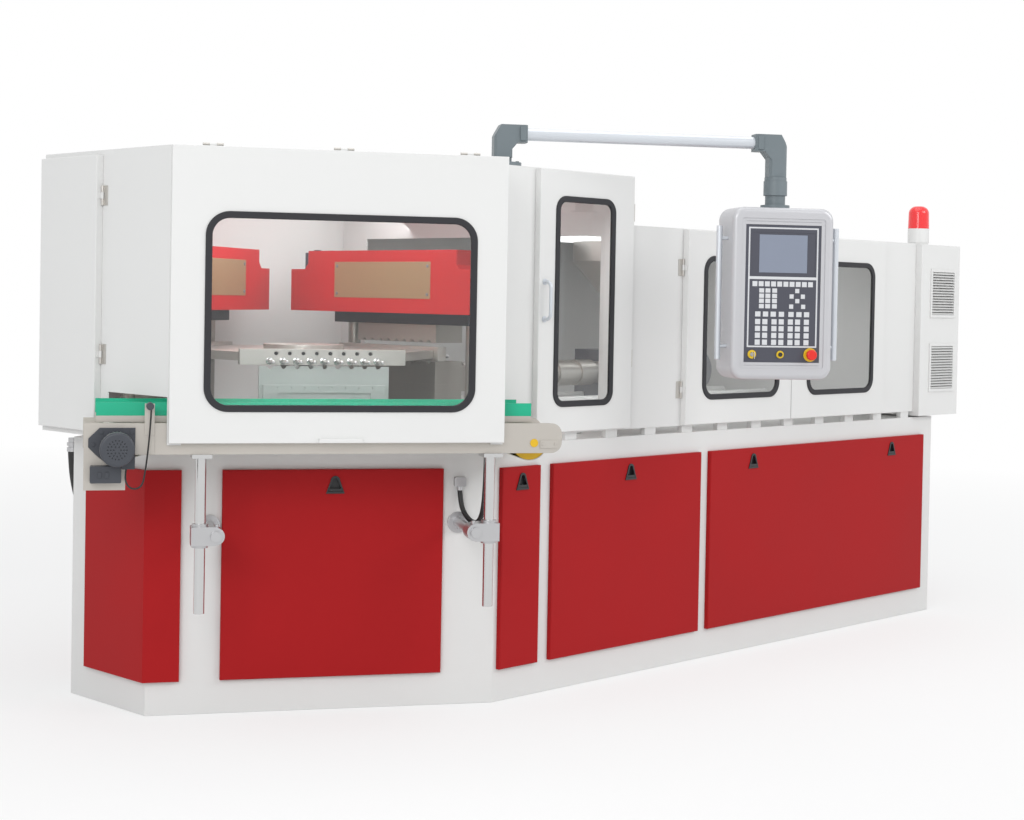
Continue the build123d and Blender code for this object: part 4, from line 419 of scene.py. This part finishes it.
# The display glass lies in its recess in the key panel.
display = {"wide": 0.200, "tall": 0.150, "thick": 0.0012, "panelMiddle": 1.5865, "above": 0.1575,
           "out": 0.1076, "edge": 0.0004}
displayPlace = facing(armEnd + armOut * display["out"], armDir, armOut)
displayCentre = (0.0, display["panelMiddle"] + display["above"], display["thick"] / 2)
displaySize = (display["wide"], display["tall"], display["thick"])
displayGlass = roundedBlock(displayPlace, displayCentre, displaySize, display["edge"])
joinPieces("display_glass", [displayGlass], "screen", "panel")

# Cords: each repeats the route of its solid, in millimetres along and out from its wall, and is smooth
# between the same points.
cordForm = {"sides": 6, "steps": 12, "order": 3}
cordRoutes = {
    "sensorLead": {
        "node": "sensor_cable", "body": "conveyor", "diameter": 0.006, "at": slantPoint,
        "points": [(-6, 346, 1142.4), (-8.1, 346.5, 1096), (-11.9, 347.5, 1042), (-17.2, 349, 986),
                   (-22.8, 350, 941), (-27.8, 351, 909), (-31.2, 351.5, 891.5), (-40.7, 352, 876.2),
                   (-57.4, 352, 869.5), (-74.9, 352, 873.8), (-86.5, 352, 887.6), (-91.2, 352, 905),
                   (-90.4, 352, 927), (-88, 352, 940)],
    },
    "feedConduit": {
        "node": "conduit", "body": "conveyor", "diameter": 0.019, "at": slantPoint,
        "across": [(1162, 22, 760), (1162, 176, 760)],
        "points": [(1162, 14, 818), (1164, 20, 776), (1172, 38, 738), (1187, 66, 712), (1200, 104, 704),
                   (1207, 137.5, 712.7), (1212, 164.6, 735.8), (1215.5, 183, 776), (1218, 188, 829),
                   (1220, 189.5, 892), (1221, 190, 957)],
    },
    "drainHose": {
        "node": "drain_hose", "body": "machine", "diameter": 0.040, "at": rearPoint,
        "points": [(60, 34, 925), (66, 34, 868), (84, 33.5, 800), (114, 32, 735), (152, 30, 680),
                   (190, 28, 628), (218, 26.5, 560), (232, 26, 480), (238, 26, 390), (241, 26.5, 290),
                   (242, 27.5, 170), (242, 29, 60)],
    },
}


def routeSpots(route, points):
    return [route["at"](along / 1000, out / 1000, height / 1000) for along, out, height in points]


def smoothLine(curve):
    # The points of the spline's own line, read from a copy of it without thickness.
    thin = curve.data.copy()
    thin.bevel_depth = 0.0
    holder = bpy.data.objects.new("measured", thin)
    mesh = bpy.data.meshes.new_from_object(holder)
    line = [vertex.co.copy() for vertex in mesh.vertices]
    bpy.data.objects.remove(holder)
    bpy.data.meshes.remove(mesh)
    bpy.data.curves.remove(thin)
    return line


def makeCord(name, route):
    data = bpy.data.curves.new(name, "CURVE")
    data.dimensions = "3D"
    data.bevel_depth = route["diameter"] / 2
    data.bevel_resolution = cordForm["sides"]
    data.use_fill_caps = True
    data.resolution_u = cordForm["steps"]
    spline = data.splines.new("NURBS")
    spline.points.add(len(route["points"]) - 1)
    spots = routeSpots(route, route["points"])
    for point, spot in zip(spline.points, spots):
        point.co = (*spot, 1.0)
    spline.order_u = cordForm["order"]
    spline.use_endpoint_u = True
    data.materials.append(materials["cable"])
    cord = bpy.data.objects.new(name, data)
    scene.collection.objects.link(cord)
    line = smoothLine(cord)
    if "across" in route:
        # The cord spans a joint: it is turned into a mesh and its transform is applied to the mesh.
        startPiece()
        cord.select_set(True)
        bpy.context.view_layer.objects.active = cord
        bpy.ops.object.convert(target="MESH")
        cord = bpy.context.object
        low, high = routeSpots(route, route["across"])
        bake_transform(cord)
    else:
        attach(cord, route["body"])
    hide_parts(route["node"])


for name, route in cordRoutes.items():
    makeCord(name, route)
print("details made")

# The floor keeps the machine's shadow nearby and fades into the white world far from it.
studio = {"floor": (0.80, 0.80, 0.80), "floorRough": 0.9, "floorSize": 60.0, "floorLevel": -0.002,
          "floorWhite": 0.62, "fadeFrom": 3.0, "fadeTo": 11.0, "world": (0.97, 0.985, 1.0),
          "worldPower": 0.72, "seenPower": 1.0}


def seenDirectly(tree):
    # One for the rays of the camera and for those that gloss and glass send on, and nought for others.
    paths = tree.nodes.new("ShaderNodeLightPath")
    found = paths.outputs["Is Camera Ray"]
    for kind in ("Is Glossy Ray", "Is Transmission Ray"):
        either = tree.nodes.new("ShaderNodeMath")
        either.operation = "MAXIMUM"
        tree.links.new(found, either.inputs[0])
        tree.links.new(paths.outputs[kind], either.inputs[1])
        found = either.outputs["Value"]
    return found


bpy.ops.mesh.primitive_plane_add(size=studio["floorSize"], location=(0, 0, studio["floorLevel"]))
floor = bpy.context.object
floor.name = "floor"
floorMaterial = bpy.data.materials.new("floor")
floorMaterial.use_nodes = True
floorTree = floorMaterial.node_tree
floorShader = floorTree.nodes["Principled BSDF"]
floorShader.inputs["Base Color"].default_value = (*studio["floor"], 1.0)
floorShader.inputs["Roughness"].default_value = studio["floorRough"]
floorWhite = floorTree.nodes.new("ShaderNodeEmission")
floorWhite.inputs["Strength"].default_value = studio["seenPower"]
floorCoords = floorTree.nodes.new("ShaderNodeTexCoord")
floorReach = floorTree.nodes.new("ShaderNodeVectorMath")
floorReach.operation = "LENGTH"
floorFade = floorTree.nodes.new("ShaderNodeMapRange")
floorFade.inputs["From Min"].default_value = studio["fadeFrom"]
floorFade.inputs["From Max"].default_value = studio["fadeTo"]
floorFade.inputs["To Min"].default_value = studio["floorWhite"]
floorFade.inputs["To Max"].default_value = 1.0
floorShare = floorTree.nodes.new("ShaderNodeMath")
floorShare.operation = "MULTIPLY"
floorMix = floorTree.nodes.new("ShaderNodeMixShader")
floorTree.links.new(floorCoords.outputs["Object"], floorReach.inputs[0])
floorTree.links.new(floorReach.outputs["Value"], floorFade.inputs["Value"])
floorTree.links.new(floorFade.outputs["Result"], floorShare.inputs[0])
floorTree.links.new(seenDirectly(floorTree), floorShare.inputs[1])
floorTree.links.new(floorShare.outputs["Value"], floorMix.inputs["Fac"])
floorTree.links.new(floorShader.outputs["BSDF"], floorMix.inputs[1])
floorTree.links.new(floorWhite.outputs["Emission"], floorMix.inputs[2])
floorTree.links.new(floorMix.outputs["Shader"], floorTree.nodes["Material Output"].inputs["Surface"])
floor.data.materials.append(floorMaterial)

world = bpy.data.worlds.new("studio")
world.use_nodes = True
scene.world = world
tree = world.node_tree
soft = tree.nodes["Background"]
soft.inputs["Color"].default_value = (*studio["world"], 1.0)
soft.inputs["Strength"].default_value = studio["worldPower"]
white = tree.nodes.new("ShaderNodeBackground")
white.inputs["Color"].default_value = (1.0, 1.0, 1.0, 1.0)
white.inputs["Strength"].default_value = studio["seenPower"]
worldMix = tree.nodes.new("ShaderNodeMixShader")
tree.links.new(seenDirectly(tree), worldMix.inputs["Fac"])
tree.links.new(soft.outputs["Background"], worldMix.inputs[1])
tree.links.new(white.outputs["Background"], worldMix.inputs[2])
tree.links.new(worldMix.outputs["Shader"], tree.nodes["World Output"].inputs["Surface"])


def addLamp(name, place, target, size, power):
    data = bpy.data.lights.new(name, "AREA")
    data.shape = "RECTANGLE"
    data.size, data.size_y = size
    data.energy = power
    lamp = bpy.data.objects.new(name, data)
    scene.collection.objects.link(lamp)
    lamp.location = place
    lamp.rotation_mode = "QUATERNION"
    lamp.rotation_quaternion = (Vector(target) - Vector(place)).to_track_quat("-Z", "Y")
    lamp.visible_camera = False


# Each lamp's place, the spot that it shines on, its size and its power.
lamps = {
    "key": ((3.5, -7.5, 5.0), (1.4, 0.0, 1.0), (5.0, 3.0), 185.0),
    "fill": ((-6.5, -4.5, 4.2), (-0.4, -0.5, 1.0), (4.0, 3.0), 200.0),
    "top": ((0.8, -0.8, 6.0), (0.8, 0.0, 1.0), (6.0, 4.0), 85.0),
    "headRoom": ((-0.05, -0.15, 2.03), (0.0, -0.1, 1.0), (1.2, 1.0), 13.5),
    "rearRoom": ((0.35, 0.45, 2.0), (0.2, 0.9, 1.3), (1.2, 0.5), 5.0),
    "unitRoom": ((2.0, -0.1, 1.83), (2.0, -0.1, 1.0), (1.8, 0.7), 6.0),
}
for name, (place, target, size, power) in lamps.items():
    addLamp(name, place, target, size, power)

# The photograph's own view, found from the machine's straight edges, with angles in degrees and the
# lens in millimetres.
lens = {"place": (-4.5528, -5.6700, 1.5541), "yaw": 45.51, "pitch": 1.223, "roll": 1.047,
        "lens": 61.84, "sensor": 36.0, "shiftY": -0.0736, "reach": 100.0}
yaw, pitch, roll = (math.radians(lens[key]) for key in ("yaw", "pitch", "roll"))
ahead = Vector((math.sin(yaw) * math.cos(pitch), math.cos(yaw) * math.cos(pitch), -math.sin(pitch)))
right = Vector((math.cos(yaw), -math.sin(yaw), 0.0))
above = right.cross(ahead)
rightTurned = right * math.cos(roll) + above * math.sin(roll)
aboveTurned = above * math.cos(roll) - right * math.sin(roll)
camera = bpy.data.objects.new("camera", bpy.data.cameras.new("camera"))
scene.collection.objects.link(camera)
camera.data.sensor_width = lens["sensor"]
camera.data.lens = lens["lens"]
camera.data.shift_y = lens["shiftY"]
camera.data.clip_end = lens["reach"]
camera.matrix_world = Matrix.Translation(Vector(lens["place"])) @ Matrix(
    (rightTurned, aboveTurned, -ahead)).transposed().to_4x4()
scene.camera = camera
scene.view_settings.view_transform = "Standard"
print("camera and light set")
